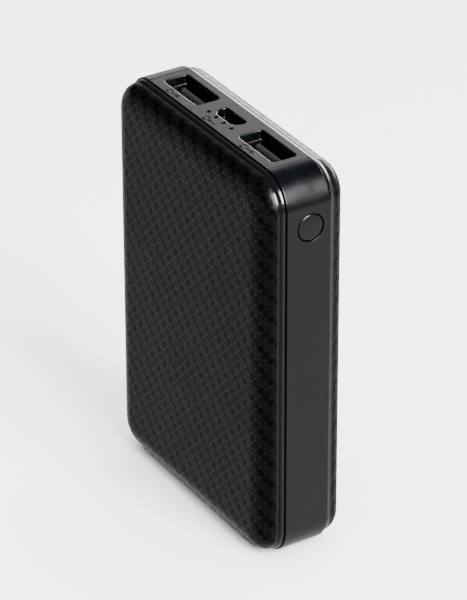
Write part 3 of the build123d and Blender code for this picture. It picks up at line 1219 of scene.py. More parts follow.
def section_normals(points: Sequence[Pair]) -> list[Pair]:
    """Outward unit normals of a section that runs from the face out to the rim.

    Args:
        points: the section, as (distance, depth).

    Returns:
        One normal for each point.
    """
    normals = []
    for i in range(len(points)):
        (d0, y0), (d1, y1) = points[max(i - 1, 0)], points[min(i + 1, len(points) - 1)]
        length = math.hypot(d1 - d0, y1 - y0) or 1.0
        normals.append((-(y1 - y0) / length, (d1 - d0) / length))
    return normals


def grid_axis(at: float, cells: int, reach: int, half: float) -> tuple[float, int, int]:
    """Where one axis of a grid's vertex lies on a core with rings round it.

    Args:
        at: the vertex's coordinate, from -1 to 1.
        cells: faces across the core.
        reach: rings on each side.
        half: half size of the core.

    Returns:
        Place on the core, ring number (0 inside the core) and side.
    """
    index = round((at + 1) / 2 * (cells + 2 * reach)) - reach
    if index < 0:
        return -half, -index, -1
    if index > cells:
        return half, index - cells, 1
    return half * (2 * index / cells - 1), 0, 0


def corner_direction(kx: int, kz: int, sx: int, sz: int) -> Vector:
    """Direction from the core to a ring's vertex, fanned round the corners.

    Args:
        kx: ring of the vertex along X.
        kz: the same along Z.
        sx: side of the core along X.
        sz: the same along Z.

    Returns:
        A unit vector in the plane of the face.
    """
    if kx == 0 and kz == 0:
        return Vector((0.0, 0.0))
    if kx >= kz:
        angle = math.pi / 4 * kz / kx
    else:
        angle = math.pi / 2 - math.pi / 4 * kx / kz
    return Vector((sx * math.cos(angle), sz * math.sin(angle)))


@dataclass
class MidFrame:
    """Band between the covers: soft edges, a notch and shelf for the panel, a button hole."""

    outline: CaseOutline
    half_depth: float
    panel_half: float
    panel_under: float
    button_at: Vector
    button_hole: float = 3.28 * MM
    wall: float = 2.0 * MM
    edge_round: float = 0.16 * MM
    shelf: float = 1.4 * MM
    shoulder: float = 2.5 * MM
    shelf_play: float = 0.02 * MM
    opening_depth: float = 3.0 * MM
    notch_flare: float = 0.16 * MM
    hole_flare: float = 0.06 * MM

    def build(self, ports: "PortLayout") -> bpy.types.Object:
        """Builds the ring and cuts its notch, its openings and its button hole.

        Args:
            ports: where the ports and lamps are.

        Returns:
            The frame.
        """
        bm = bmesh.new()
        start = self.outline.face(bm, self.edge_round, self.half_depth)
        at, *others = self.section()
        edges = list(start.edges)
        bmesh.ops.delete(bm, geom=[start], context="FACES_ONLY")
        first_edges = list(edges)
        for step in others:
            made = bmesh.ops.extrude_edge_only(bm, edges=edges)
            verts = [g for g in made["geom"] if isinstance(g, BMVert)]
            edges = [g for g in made["geom"] if isinstance(g, BMEdge)]
            for vert in verts:
                vert.co += self.toward_core(vert.co) * (step[0] - at[0])
                vert.co.y = step[1]
            at = step
        bmesh.ops.bridge_loops(bm, edges=first_edges + edges)
        ring = finish_mesh(bm, "mid_frame_band")
        combine(ring, self.notch(), Cut.TAKE_AWAY)
        combine(ring, self.shelf_plate(), Cut.ADD)
        combine(ring, self.openings(ports), Cut.TAKE_AWAY)
        reshade(ring)
        even_normals(ring)
        return ring

    def section(self) -> list[Pair]:
        """Closed section of the band as (inset, depth), from its rear edge forwards.

        Returns:
            Its points in order.
        """
        r, half = self.edge_round, self.half_depth
        points = [(r, half)]
        for angle in quarter_angles(4)[1:]:
            points.append((r - r * math.sin(angle), half - r + r * math.cos(angle)))
        for angle in quarter_angles(4):
            points.append((r - r * math.cos(angle), -(half - r) - r * math.sin(angle)))
        points.append((self.wall, -half))
        points.append((self.wall, half))
        return points

    def toward_core(self, at: Vector) -> Vector:
        """Unit vector from a point of the band straight in towards its core.

        Args:
            at: a point of the band.

        Returns:
            The direction.
        """
        core_x, core_z = self.outline.core
        x = max(-core_x, min(core_x, at.x))
        z = self.outline.middle + max(-core_z, min(core_z, at.z - self.outline.middle))
        return Vector((x - at.x, 0.0, z - at.z)).normalized()

    def notch(self) -> bpy.types.Object:
        """Room for the panel, with a small flare that breaks the frame's edges.

        Returns:
            The tool.
        """
        bm = bmesh.new()
        place = Matrix.Translation((0.0, 0.0, self.panel_under))
        face = rounded_face(bm, (self.panel_half, 2 * self.half_depth), 0.0, place)
        prism(bm, face, hole_steps(self.outline.height - self.panel_under, self.notch_flare, 3))
        return finish_mesh(bm, "notch_tool")

    def shelf_plate(self) -> bpy.types.Object:
        """Shelf under the panel, with a shoulder at each end.

        Returns:
            The shelf, not yet joined to the band.
        """
        bm = bmesh.new()
        reach = self.panel_half + self.shoulder
        half = self.half_depth - self.shelf_play
        low = self.panel_under - self.shelf
        box_mesh(bm, Vector((-reach, -half, low)), Vector((reach, half, self.panel_under)))
        return finish_mesh(bm, "shelf_tool")

    def openings(self, ports: "PortLayout") -> bpy.types.Object:
        """Tools for the button hole and for the ports' way through the shelf.

        Args:
            ports: where the ports are.

        Returns:
            The tools, joined in one object.
        """
        bm = bmesh.new()
        x = self.outline.half_width - self.wall - OVERSHOOT
        place = Matrix.Translation((x, self.button_at.y, self.button_at.z))
        face = round_face(bm, self.button_hole, 72, place @ Matrix.Rotation(math.pi / 2, 4, "Y"))
        prism(bm, face, hole_steps(self.wall + OVERSHOOT, self.hole_flare, 4))
        under = self.panel_under - self.opening_depth
        for middle, half in ports.shelf_holes():
            low = Vector((middle.x - half[0], middle.y - half[1], under))
            high = Vector((middle.x + half[0], middle.y + half[1], self.panel_under + OVERSHOOT))
            box_mesh(bm, low, high)
        return finish_mesh(bm, "openings_tool")

    def dress(self, piece: bpy.types.Object) -> None:
        """Gives the frame its satin finish."""
        dress(piece, CASE_BODY, [Finish.FRAME.material()], ["mid_frame"])


# ---------------------------------------------------------------------------
# Ports
# ---------------------------------------------------------------------------


@dataclass(frozen=True)
class PortLayout:
    """Places of the ports and lamps in the panel, read from the frame's nodes."""

    USB_A_WIDTH: ClassVar[float] = 13.1 * MM
    LAMP_CHIP: ClassVar[float] = 1.2 * MM

    usb_a: tuple[Vector, Vector]
    usb_a_shell: Pair
    micro: Vector
    micro_shell: Pair
    lamps: tuple[float, ...]
    lamp_y: float

    @staticmethod
    def centre_of(node: str) -> Vector:
        """Middle of a node's box."""
        low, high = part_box(node)
        return (low + high) / 2

    @classmethod
    def from_frame(cls) -> "PortLayout":
        """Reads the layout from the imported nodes.

        Returns:
            The layout.
        """
        tongues = [cls.centre_of(f"usb_a_{side}_tongue") for side in ("left", "right")]
        low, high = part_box("usb_a_right_shell")
        micro_low, micro_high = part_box("micro_usb_shell")
        lamp_low, lamp_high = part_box("status_leds")
        first, last = lamp_low.x + cls.LAMP_CHIP / 2, lamp_high.x - cls.LAMP_CHIP / 2
        lamps = tuple(first + (last - first) * i / 3 for i in range(4))
        guide_low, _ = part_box("led_light_guide")
        return cls(
            usb_a=(tongues[0], tongues[1]),
            usb_a_shell=(cls.USB_A_WIDTH, high.y - low.y),
            micro=(micro_low + micro_high) / 2,
            micro_shell=(micro_high.x - micro_low.x, micro_high.y - micro_low.y),
            lamps=lamps,
            lamp_y=guide_low.y + cls.LAMP_CHIP / 2,
        )

    def shelf_holes(self) -> list[tuple[Vector, Pair]]:
        """Middles and half sizes of the holes in the shelf.

        Returns:
            One middle and one pair of half sizes for each hole.
        """
        play, lamp_half = 0.15 * MM, 0.5 * MM
        shells = [(middle, self.usb_a_shell) for middle in self.usb_a] + [(self.micro, self.micro_shell)]
        holes = [(middle, (size[0] / 2 + play, size[1] / 2 + play)) for middle, size in shells]
        holes += [(Vector((x, self.lamp_y, 0.0)), (lamp_half, lamp_half)) for x in self.lamps]
        return holes


def micro_face(bm: BMesh, size: Pair, place: Matrix) -> BMFace:
    """Micro-USB mouth: a rectangle whose two front corners are cut off, then softened.

    Args:
        bm: mesh that receives the face.
        size: width and height.
        place: matrix that carries the XY plane to its place.

    Returns:
        The new face.
    """
    width, height = size
    face = flat_rectangle(bm, width, height)
    cut_in, cut_up, rounding = 0.14 * width, 0.42 * height, 0.09 * width
    for vert in [v for v in face.verts if v.co.y < 0]:
        side = math.copysign(1.0, vert.co.x)
        upright = next(e for e in vert.link_edges if abs(e.verts[0].co.x - e.verts[1].co.x) < SAME_POINT)
        _, corner = bmesh.utils.edge_split(upright, vert, cut_up / height)
        vert.co.x -= side * cut_in
        corner.co.x = side * width / 2
    return rounded_corners(bm, face, rounding, 5, place)


@dataclass
class PortPanel:
    """Flush plate with flared port mouths, lamp holes and three sunk signs."""

    half_length: float
    half_depth: float
    under: float
    top: float
    ports: PortLayout
    mouth_shade: tuple[float, float, float] = (13.6 * MM, 5.9 * MM, 0.8 * MM)
    mouth_y: float = 0.23 * MM
    mouth_flare: float = 0.28 * MM
    micro_mouth: Pair = (8.2 * MM, 3.3 * MM)
    micro_y: float = 0.55 * MM
    cut_start: float = 1.0 * MM
    lamp_radius: float = 0.53 * MM
    lamp_flare: float = 0.03 * MM
    edge_round: float = 0.10 * MM
    mark_depth: float = 0.15 * MM
    mark_y: float = -4.05 * MM
    out_marks: Pair = (-16.0 * MM, 13.9 * MM)
    in_mark: float = -1.0 * MM
    mark_stroke: float = 0.3 * MM
    mark_height: float = 1.7 * MM
    out_arrow: Pair = (2.5 * MM, 1.5 * MM)
    in_arrow: Pair = (-0.85 * MM, 0.15 * MM)
    head_half: float = 0.62 * MM
    edge_margin: float = 0.5 * MM

    def build(self) -> bpy.types.Object:
        """Builds the plate and cuts every opening and sign.

        Returns:
            The plate.
        """
        bm = bmesh.new()
        low = Vector((-self.half_length, -self.half_depth, self.under))
        high = Vector((self.half_length, self.half_depth, self.top))
        box_mesh(bm, low, high, self.edge_round, 3)
        plate = finish_mesh(bm, "port_panel_plate")
        for x in self.ports.lamps:
            combine(plate, self.lamp_hole(x), Cut.TAKE_AWAY)
        combine(plate, self.mouths(), Cut.TAKE_AWAY)
        for x in self.out_marks:
            combine(plate, self.sign(x, outwards=True), Cut.TAKE_AWAY)
        combine(plate, self.sign(self.in_mark, outwards=False), Cut.TAKE_AWAY)
        reshade(plate)
        self.paint_mouth_shade_and_sign_floors(plate)
        even_normals(plate)
        return plate

    def mouths(self) -> bpy.types.Object:
        """Tool for the two USB-A mouths and the micro-USB mouth.

        Returns:
            The tool.
        """
        bm = bmesh.new()
        start = self.under - self.cut_start
        width, height, corner = self.mouth_shade
        for middle in self.ports.usb_a:
            place = Matrix.Translation((middle.x, self.mouth_y, start))
            face = rounded_face(bm, (width / 2, height / 2), corner, place, 6)
            prism(bm, face, hole_steps(self.top - start, self.mouth_flare, 5))
        place = Matrix.Translation((self.ports.micro.x, self.micro_y, start))
        face = micro_face(bm, self.micro_mouth, place)
        prism(bm, face, hole_steps(self.top - start, self.mouth_flare, 4))
        return finish_mesh(bm, "mouths_tool")

    def lamp_hole(self, x: float) -> bpy.types.Object:
        """Tool for one lamp hole.

        Args:
            x: middle of the hole.

        Returns:
            The tool.
        """
        bm = bmesh.new()
        start = self.under - self.cut_start
        face = round_face(bm, self.lamp_radius, 28, Matrix.Translation((x, self.ports.lamp_y, start)))
        prism(bm, face, hole_steps(self.top - start, self.lamp_flare, 3))
        return finish_mesh(bm, "lamp_hole_tool")

    def sign(self, x: float, outwards: bool) -> bpy.types.Object:
        """Tool for one sign: a bracket with an arrow that leaves or enters it.

        Args:
            x: middle of the sign.
            outwards: True for an output, False for the input.

        Returns:
            The tool.
        """
        stroke = self.mark_stroke
        half_height = self.mark_height / 2
        bars = [
            ((-1.9 * MM, 0.0), (stroke / 2, half_height)),
            ((-1.35 * MM, stroke / 2 - half_height), (0.7 * MM, stroke / 2)),
            ((-1.35 * MM, half_height - stroke / 2), (0.7 * MM, stroke / 2)),
            ((0.8 * MM, 0.0), (1.4 * MM, stroke / 2)),
        ]
        floor, above = self.top - self.mark_depth, self.top + OVERSHOOT
        whole = None
        for number, (middle, half) in enumerate(bars):
            bm = bmesh.new()
            low = Vector((x + middle[0] - half[0], self.mark_y + middle[1] - half[1], floor))
            high = Vector((x + middle[0] + half[0], self.mark_y + middle[1] + half[1], above))
            box_mesh(bm, low, high)
            bar = finish_mesh(bm, f"sign_bar_{number}")
            if whole is None:
                whole = bar
            else:
                combine(whole, bar, Cut.ADD)
        combine(whole, self.arrow_head(x, outwards), Cut.ADD)
        return whole

    def arrow_head(self, x: float, outwards: bool) -> bpy.types.Object:
        """Tool for the head of a sign's arrow.

        Args:
            x: middle of the sign.
            outwards: True for an output, False for the input.

        Returns:
            The tool, a triangle as high as the sign's bars.
        """
        tip, back = self.out_arrow if outwards else self.in_arrow
        corners = [(back, -self.head_half), (tip, 0.0), (back, self.head_half)]
        bm = bmesh.new()
        circle = bmesh.ops.create_circle(bm, cap_ends=True, segments=3, radius=1.0)
        verts = sorted(circle["verts"], key=lambda v: v.co.y)
        for vert, corner in zip(verts, corners):
            vert.co = Vector((x + corner[0], self.mark_y + corner[1], self.top - self.mark_depth))
        face = verts[0].link_faces[0]
        face.normal_update()
        if face.normal.z < 0:
            face.normal_flip()
        prism(bm, face, [(self.mark_depth + OVERSHOOT, 0.0)])
        return finish_mesh(bm, "sign_head")

    def paint_mouth_shade_and_sign_floors(self, plate: bpy.types.Object) -> None:
        """Gives the signs' floors the plate's second material and the mouths' walls its third, which is
        darker as painted shade.

        Args:
            plate: the plate, after its last cut.
        """
        floor = self.top - self.mark_depth
        for polygon in plate.data.polygons:
            x, y, z = polygon.center
            inside_x = abs(x) < self.half_length - self.edge_margin
            inside = inside_x and abs(y) < self.half_depth - self.edge_margin
            if abs(z - floor) < SAME_LEVEL and polygon.normal.z > LOOKS_UP:
                polygon.material_index = 1
            # Mouth walls get the darker material: painted shade in the mouths.
            elif inside and abs(polygon.normal.z) < STANDS_UPRIGHT and z < self.top - self.mouth_flare:
                polygon.material_index = 2

    def dress(self, piece: bpy.types.Object) -> None:
        """Gives the panel its satin finish, its signs their darker gloss and its mouths' walls a darker
        painted shade.
        """
        materials = [Finish.PANEL.material(), Finish.MARK.material(), Finish.MOUTH_SHADE.material()]
        dress(piece, CASE_BODY, materials, ["port_panel"])


@dataclass
class SheetShell:
    """Folded sheet shell of a port, with a rolled lip at its mouth."""

    name: str
    node: str
    face: Callable[[BMesh, Matrix], BMFace]
    middle: Vector
    bottom: float
    top: float
    sheet: float
    windows: tuple[float, ...] = ()
    window_wall: float = 0.0
    wings: bool = False
    window_half: Pair = (1.1 * MM, 4.0 * MM)
    window_below: Pair = (7.5 * MM, 1.3 * MM)
    finger_width: float = 1.7 * MM
    finger_length: float = 5.6 * MM
    finger_below: float = 4.75 * MM
    finger_lean: float = 0.32 * MM
    wing_width: float = 1.1 * MM
    wing_z: Pair = (79.5 * MM, 83.5 * MM)
    wing_round: float = 0.04 * MM

    def build(self) -> bpy.types.Object:
        """Builds the wall with its lip, its spring windows and its wings.

        Returns:
            The shell.
        """
        bm = bmesh.new()
        place = Matrix.Translation((self.middle.x, self.middle.y, self.bottom))
        outer = self.face(bm, place)
        lip = self.sheet / 2
        straight = self.top - self.bottom - lip
        up = quarter_round(lip, 4, grow=False)
        down = [(-rise, grow) for rise, grow in reversed(up)]
        steps = [(straight, 0.0), *up, *down, (-straight, 0.0)]
        edges = list(outer.edges)
        order = [loop.vert for loop in outer.loops]
        normal = Vector((0.0, 0.0, 1.0))
        if outer.normal.z < 0:
            order.reverse()
        bmesh.ops.delete(bm, geom=[outer], context="FACES_ONLY")
        first_edges = list(edges)
        for rise, grow in steps:
            directions = dict(zip(order, outward_steps(order, normal)))
            made = bmesh.ops.extrude_edge_only(bm, edges=edges)
            edges = [g for g in made["geom"] if isinstance(g, BMEdge)]
            partner = {}
            for vert in (g for g in made["geom"] if isinstance(g, BMVert)):
                others = (edge.other_vert(vert) for edge in vert.link_edges)
                old = next(other for other in others if other in directions)
                partner[old] = vert
                vert.co += normal * rise + directions[old] * grow
            order = [partner[v] for v in order]
        bmesh.ops.bridge_loops(bm, edges=first_edges + edges)
        shell = finish_mesh(bm, self.name)
        if self.windows:
            combine(shell, self.window_tool(), Cut.TAKE_AWAY)
            combine(shell, self.fingers(), Cut.ADD)
        if self.wings:
            combine(shell, self.wing_plates(), Cut.ADD)
        reshade(shell)
        even_normals(shell)
        return shell

    def window_tool(self) -> bpy.types.Object:
        """Tool for the windows in both wide walls, where the springs are cut free.

        Returns:
            The tool.
        """
        bm = bmesh.new()
        half_x, half_y = self.window_half
        deep, near = self.window_below
        for x in self.windows:
            low = Vector((self.middle.x + x - half_x, self.middle.y - half_y, self.top - deep))
            high = Vector((self.middle.x + x + half_x, self.middle.y + half_y, self.top - near))
            box_mesh(bm, low, high)
        return finish_mesh(bm, "window_tool")

    def fingers(self) -> bpy.types.Object:
        """Spring fingers that lean into the mouth from each window.

        Returns:
            The fingers, not yet joined to the wall.
        """
        bm = bmesh.new()
        half = self.window_wall / 2
        for x in self.windows:
            for side in (-1, 1):
                verts = bmesh.ops.create_cube(bm, size=1.0)["verts"]
                size = (self.finger_width, self.sheet * 0.8, self.finger_length)
                bmesh.ops.scale(bm, vec=size, verts=verts)
                wall = self.middle.y + side * (half - self.sheet / 2)
                shift = Vector((self.middle.x + x, wall, self.top - self.finger_below))
                bmesh.ops.translate(bm, vec=shift, verts=verts)
                for vert in verts:
                    if vert.co.z > shift.z:
                        vert.co.y -= side * self.finger_lean
        return finish_mesh(bm, "finger_tool")

    def wing_plates(self) -> bpy.types.Object:
        """Tabs that rest on the board on both sides, read from the node's box.

        Returns:
            The tabs, not yet joined to the wall.
        """
        bm = bmesh.new()
        low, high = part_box(self.node)
        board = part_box("circuit_board")[1].y
        start, end = self.wing_z
        for a in (low.x, high.x - self.wing_width):
            far_corner = Vector((a + self.wing_width, board + self.sheet, end))
            box_mesh(bm, Vector((a, board, start)), far_corner, self.wing_round)
        return finish_mesh(bm, "wing_tool")

    def dress(self, piece: bpy.types.Object) -> None:
        """Gives the shell its plated finish, darkened as painted shade."""
        dress(piece, CASE_BODY, [Finish.SHELL.material()], [self.node])


@dataclass
class UsbAPort:
    """Output port: shell, tongue and four contact strips."""

    side: str
    middle: Vector
    sheet: float = 0.3 * MM
    corner: float = 0.7 * MM
    windows: Pair = (-2.9 * MM, 2.9 * MM)
    base_height: float = 2.2 * MM
    tongue_half: float = 5.55 * MM
    tongue_y: Pair = (0.6 * MM, 2.1 * MM)
    tip_chamfer: float = 0.42 * MM
    contact_x: tuple[float, ...] = (-3.5 * MM, -1.0 * MM, 1.0 * MM, 3.5 * MM)
    contact_half: float = 0.5 * MM
    contact_y: Pair = (0.35 * MM, 0.6 * MM)
    bump_below: tuple[float, ...] = (0.6 * MM, 1.2 * MM, 2.0 * MM, 2.8 * MM, 3.6 * MM)
    bump_height: float = 0.12 * MM
    foot_top: float = 1.15 * MM
    base_round: float = 0.08 * MM
    tongue_round: float = 0.07 * MM
    strip_round: float = 0.05 * MM
    overlap: float = 0.3 * MM

    def shell(self) -> SheetShell:
        """The port's sheet shell.

        Returns:
            The shell, ready to build.
        """
        node = f"usb_a_{self.side}_shell"
        low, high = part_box(node)
        width, height = PortLayout.USB_A_WIDTH, high.y - low.y

        def face(bm: BMesh, place: Matrix) -> BMFace:
            """Outline of the shell."""
            return rounded_face(bm, (width / 2, height / 2), self.corner, place, 5)

        return SheetShell(
            name=f"usb_a_{self.side}_sheet",
            node=node,
            face=face,
            middle=Vector((self.middle.x, (low.y + high.y) / 2, 0.0)),
            bottom=low.z,
            top=high.z,
            sheet=self.sheet,
            windows=self.windows,
            window_wall=height,
            wings=True,
        )

    def tongue(self) -> bpy.types.Object:
        """Builds the moulded tongue with its chamfered tip and its base.

        Returns:
            The tongue.
        """
        low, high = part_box(f"usb_a_{self.side}_tongue")
        base_top = low.z + self.base_height
        bm = bmesh.new()
        box_mesh(bm, low, Vector((high.x, high.y, base_top)), self.base_round)
        base = finish_mesh(bm, f"usb_a_{self.side}_tongue_moulding")
        bm = bmesh.new()
        low_y, high_y = self.tongue_y
        low_tongue = Vector((self.middle.x - self.tongue_half, low_y, base_top - self.overlap))
        box_mesh(bm, low_tongue, Vector((self.middle.x + self.tongue_half, high_y, high.z)))
        tip = [e for e in bm.edges if all(v.co.z > high.z - SAME_POINT for v in e.verts)]
        long_tip = [e for e in tip if abs(e.verts[0].co.x - e.verts[1].co.x) > self.tongue_half]
        soften(bm, long_tip, self.tip_chamfer, 1)
        soften(bm, bm.edges, self.tongue_round, 2)
        combine(base, finish_mesh(bm, "tongue_tool"), Cut.ADD)
        reshade(base)
        even_normals(base)
        return base

    def contacts(self) -> bpy.types.Object:
        """Builds four strips, each with a worn bump near its tip and a foot.

        Returns:
            The four strips in one piece.
        """
        low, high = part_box(f"usb_a_{self.side}_contacts")
        front, back = self.contact_y
        cuts = [high.z - below for below in self.bump_below]
        foot_top = low.z + self.foot_top
        play, lap, rounding = 0.01 * MM, 0.25 * MM, 0.04 * MM
        bm = bmesh.new()
        for offset in self.contact_x:
            a = self.middle.x + offset - self.contact_half
            b = self.middle.x + offset + self.contact_half
            strip = bmesh.new()
            box_mesh(strip, Vector((a, front, foot_top)), Vector((b, back, high.z)), self.strip_round)
            for z in cuts:
                geometry = list(strip.verts) + list(strip.edges) + list(strip.faces)
                bmesh.ops.bisect_plane(strip, geom=geometry, plane_co=(0, 0, z), plane_no=(0, 0, 1))
            for vert in strip.verts:
                if cuts[-1] + SAME_POINT < vert.co.z < cuts[0] - SAME_POINT:
                    vert.co.y -= self.bump_height
            foot_high = Vector((b, low.y + lap, foot_top + lap))
            box_mesh(strip, Vector((a, low.y, low.z)), foot_high, rounding)
            knee_low = Vector((a + play, low.y + play, foot_top + play))
            knee_high = Vector((b - play, back - play, foot_top + lap))
            box_mesh(strip, knee_low, knee_high, rounding)
            merge_into(bm, strip)
        strips = finish_mesh(bm, f"usb_a_{self.side}_contact_strips")
        even_normals(strips)
        return strips

    def build(self) -> None:
        """Builds and dresses the whole port."""
        shell = self.shell()
        shell.dress(shell.build())
        node = f"usb_a_{self.side}"
        insulator, plating = [Finish.INSULATOR.material()], [Finish.CONTACT.material()]
        dress(self.tongue(), CASE_BODY, insulator, [f"{node}_tongue"])
        dress(self.contacts(), CASE_BODY, plating, [f"{node}_contacts"])


@dataclass
class MicroUsbPort:
    """Input port: shell, thin tongue and five fine strips."""

    sheet: float = 0.25 * MM
    base_height: float = 1.0 * MM
    tongue_half: float = 1.9 * MM
    tongue_y: Pair = (0.62 * MM, 1.22 * MM)
    base_round: float = 0.06 * MM
    tongue_round: float = 0.1 * MM
    overlap: float = 0.2 * MM

    def build(self) -> None:
        """Builds and dresses the whole port."""
        low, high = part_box("micro_usb_shell")
        size = (high.x - low.x, high.y - low.y)

        def face(bm: BMesh, place: Matrix) -> BMFace:
            """Outline of the shell."""
            return micro_face(bm, size, place)

        shell = SheetShell(
            name="micro_usb_sheet",
            node="micro_usb_shell",
            face=face,
            middle=(low + high) / 2,
            bottom=low.z,
            top=high.z,
            sheet=self.sheet,
        )
        shell.dress(shell.build())
        insulator = [Finish.INSULATOR.material()]
        dress(self.tongue(), CASE_BODY, insulator, ["micro_usb_tongue"])
        repaint("micro_usb_contacts", Finish.CONTACT.material())

    def tongue(self) -> bpy.types.Object:
        """Builds the base and the tongue with softened edges.

        Returns:
            The tongue.
        """
        low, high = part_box("micro_usb_tongue")
        middle = (low.x + high.x) / 2
        base_top = low.z + self.base_height
        bm = bmesh.new()
        box_mesh(bm, low, Vector((high.x, high.y, base_top)), self.base_round)
        low_y, high_y = self.tongue_y
        low_tongue = Vector((middle - self.tongue_half, low_y, base_top - self.overlap))
        box_mesh(bm, low_tongue, Vector((middle + self.tongue_half, high_y, high.z)), self.tongue_round)
        piece = finish_mesh(bm, "micro_usb_tongue_moulding")
        even_normals(piece)
        return piece


@dataclass
class LampGuide:
    """Clear strip with four domed pegs that end in the panel's lamp holes."""

    ports: PortLayout
    strip_height: float = 1.2 * MM
    strip_depth: float = 0.79 * MM
    peg_radius: float = 0.42 * MM
    peg_recess: float = 0.9 * MM
    peg_dome: float = 0.14 * MM
    strip_round: float = 0.06 * MM
    overlap: float = 0.02 * MM

    def build(self) -> bpy.types.Object:
        """Builds the strip and the pegs.

        Returns:
            The light guide.
        """
        low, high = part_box("led_light_guide")
        strip_top = low.z + self.strip_height
        start = strip_top - self.overlap
        straight = high.z - self.peg_recess - start - self.peg_dome
        bm = bmesh.new()
        box_mesh(bm, low, Vector((high.x, low.y + self.strip_depth, strip_top)), self.strip_round)
        for x in self.ports.lamps:
            place = Matrix.Translation((x, self.ports.lamp_y, start))
            face = round_face(bm, self.peg_radius, 24, place)
            prism(bm, face, [(straight, 0.0), *quarter_round(self.peg_dome, 4, grow=False)])
        return finish_mesh(bm, "lamp_guide")

    def dress(self, piece: bpy.types.Object) -> None:
        """Gives the guide its near-black finish, painted shade in the lamp holes."""
        dress(piece, CASE_BODY, [Finish.GUIDE.material()], ["led_light_guide"])


@dataclass
class PowerButton:
    """Round cap with a softened edge, a holding flange and a stem."""

    cap_radius: float = 3.02 * MM
    flange_radius: float = 3.6 * MM
    stem_radius: float = 1.0 * MM
    stem_chamfer: float = 0.1 * MM
    cap_depth: float = 2.05 * MM
    flange_width: float = 0.8 * MM
    edge_round: float = 0.25 * MM
    crown: float = 0.05 * MM
    crown_knee: float = 1.6 * MM

    def section(self, low: Vector, high: Vector) -> list[Pair]:
        """Half section from the middle of the cap to the stem's end.

        Args:
            low: lowest corner of the button's box.
            high: its highest corner.

        Returns:
            Points as (X, radius).
        """
        face = high.x
        flange_out = face - self.cap_depth
        flange_in = flange_out - self.flange_width
        flat = self.cap_radius - self.edge_round
        points = [(face, 0.0), (face - 0.2 * self.crown, self.crown_knee), (face - self.crown, flat)]
        for angle in quarter_angles(5)[1:]:
            x = face - self.crown - self.edge_round * (1 - math.cos(angle))
            points.append((x, flat + self.edge_round * math.sin(angle)))
        return points + [
            (flange_out, self.cap_radius),
            (flange_out, self.flange_radius),
            (flange_in, self.flange_radius),
            (flange_in, self.stem_radius),
            (low.x + self.stem_chamfer, self.stem_radius),
            (low.x, self.stem_radius - self.stem_chamfer),
            (low.x, 0.0),
        ]

    def build(self) -> bpy.types.Object:
        """Spins the half section about the button's axis.

        Returns:
            The cap.
        """
        low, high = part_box("power_button")
        middle = (low + high) / 2
        bm = bmesh.new()
        points = self.section(low, high)
        verts = [bm.verts.new((x, middle.y, middle.z + radius)) for x, radius in points]
        edges = [bm.edges.new(pair) for pair in zip(verts, verts[1:])]
        bmesh.ops.spin(
            bm,
            geom=verts + edges,
            cent=(0.0, middle.y, middle.z),
            axis=(1.0, 0.0, 0.0),
            angle=math.tau,
            steps=72,
            use_merge=True,
        )
        piece = finish_mesh(bm, "power_button_cap")
        even_normals(piece)
        return piece

    def dress(self, piece: bpy.types.Object) -> None:
        """Gives the button its satin finish."""
        dress(piece, BUTTON_BODY, [Finish.BUTTON.material()], ["power_button"])


@dataclass
class Internals:
    """The pieces inside the case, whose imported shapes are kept."""

    finishes: dict[str, Finish] = field(
        default_factory=lambda: {
            "switch_body": Finish.SWITCH,
            "switch_plunger": Finish.PIN,
            "circuit_board": Finish.BOARD,
            "status_leds": Finish.LAMP,
            "controller_chip": Finish.PACKAGE,
            "power_transistors": Finish.PACKAGE,
            "power_inductor": Finish.FERRITE,
            "filter_capacitors": Finish.CERAMIC,
            "board_screws": Finish.SCREW,
            "front_cell": Finish.FOIL,
            "rear_cell": Finish.FOIL,
            "front_cell_tabs": Finish.NICKEL,
            "rear_cell_tabs": Finish.NICKEL,
            "cell_adhesive_pad": Finish.ADHESIVE,
            "front_foam_pad": Finish.FOAM,
            "rear_foam_pad": Finish.FOAM,
            "insulating_card": Finish.CARD,
        }
    )

    def dress(self) -> None:
        """Gives each kept node its material."""
        for node, finish in self.finishes.items():
            repaint(node, finish.material())


# ---------------------------------------------------------------------------
# Studio
# ---------------------------------------------------------------------------


@dataclass(frozen=True)
class Softbox:
    """Square or oblong area light aimed at the object."""

    name: str
    at: tuple[float, float, float]
    size: Pair
    power: float
    aim: tuple[float, float, float] = (0.0, 0.0, 0.05)
    glossy: bool = True

    def build(self) -> None:
        """Adds the light."""
        data = bpy.data.lights.new(self.name, "AREA")
        data.shape = "RECTANGLE"
        data.size, data.size_y = self.size
        data.energy = self.power
        lamp = bpy.data.objects.new(self.name, data)
        lamp.location = self.at
        toward = Vector(self.aim) - Vector(self.at)
        lamp.rotation_euler = toward.to_track_quat("-Z", "Y").to_euler()
        lamp.visible_glossy = self.glossy
        bpy.context.scene.collection.objects.link(lamp)


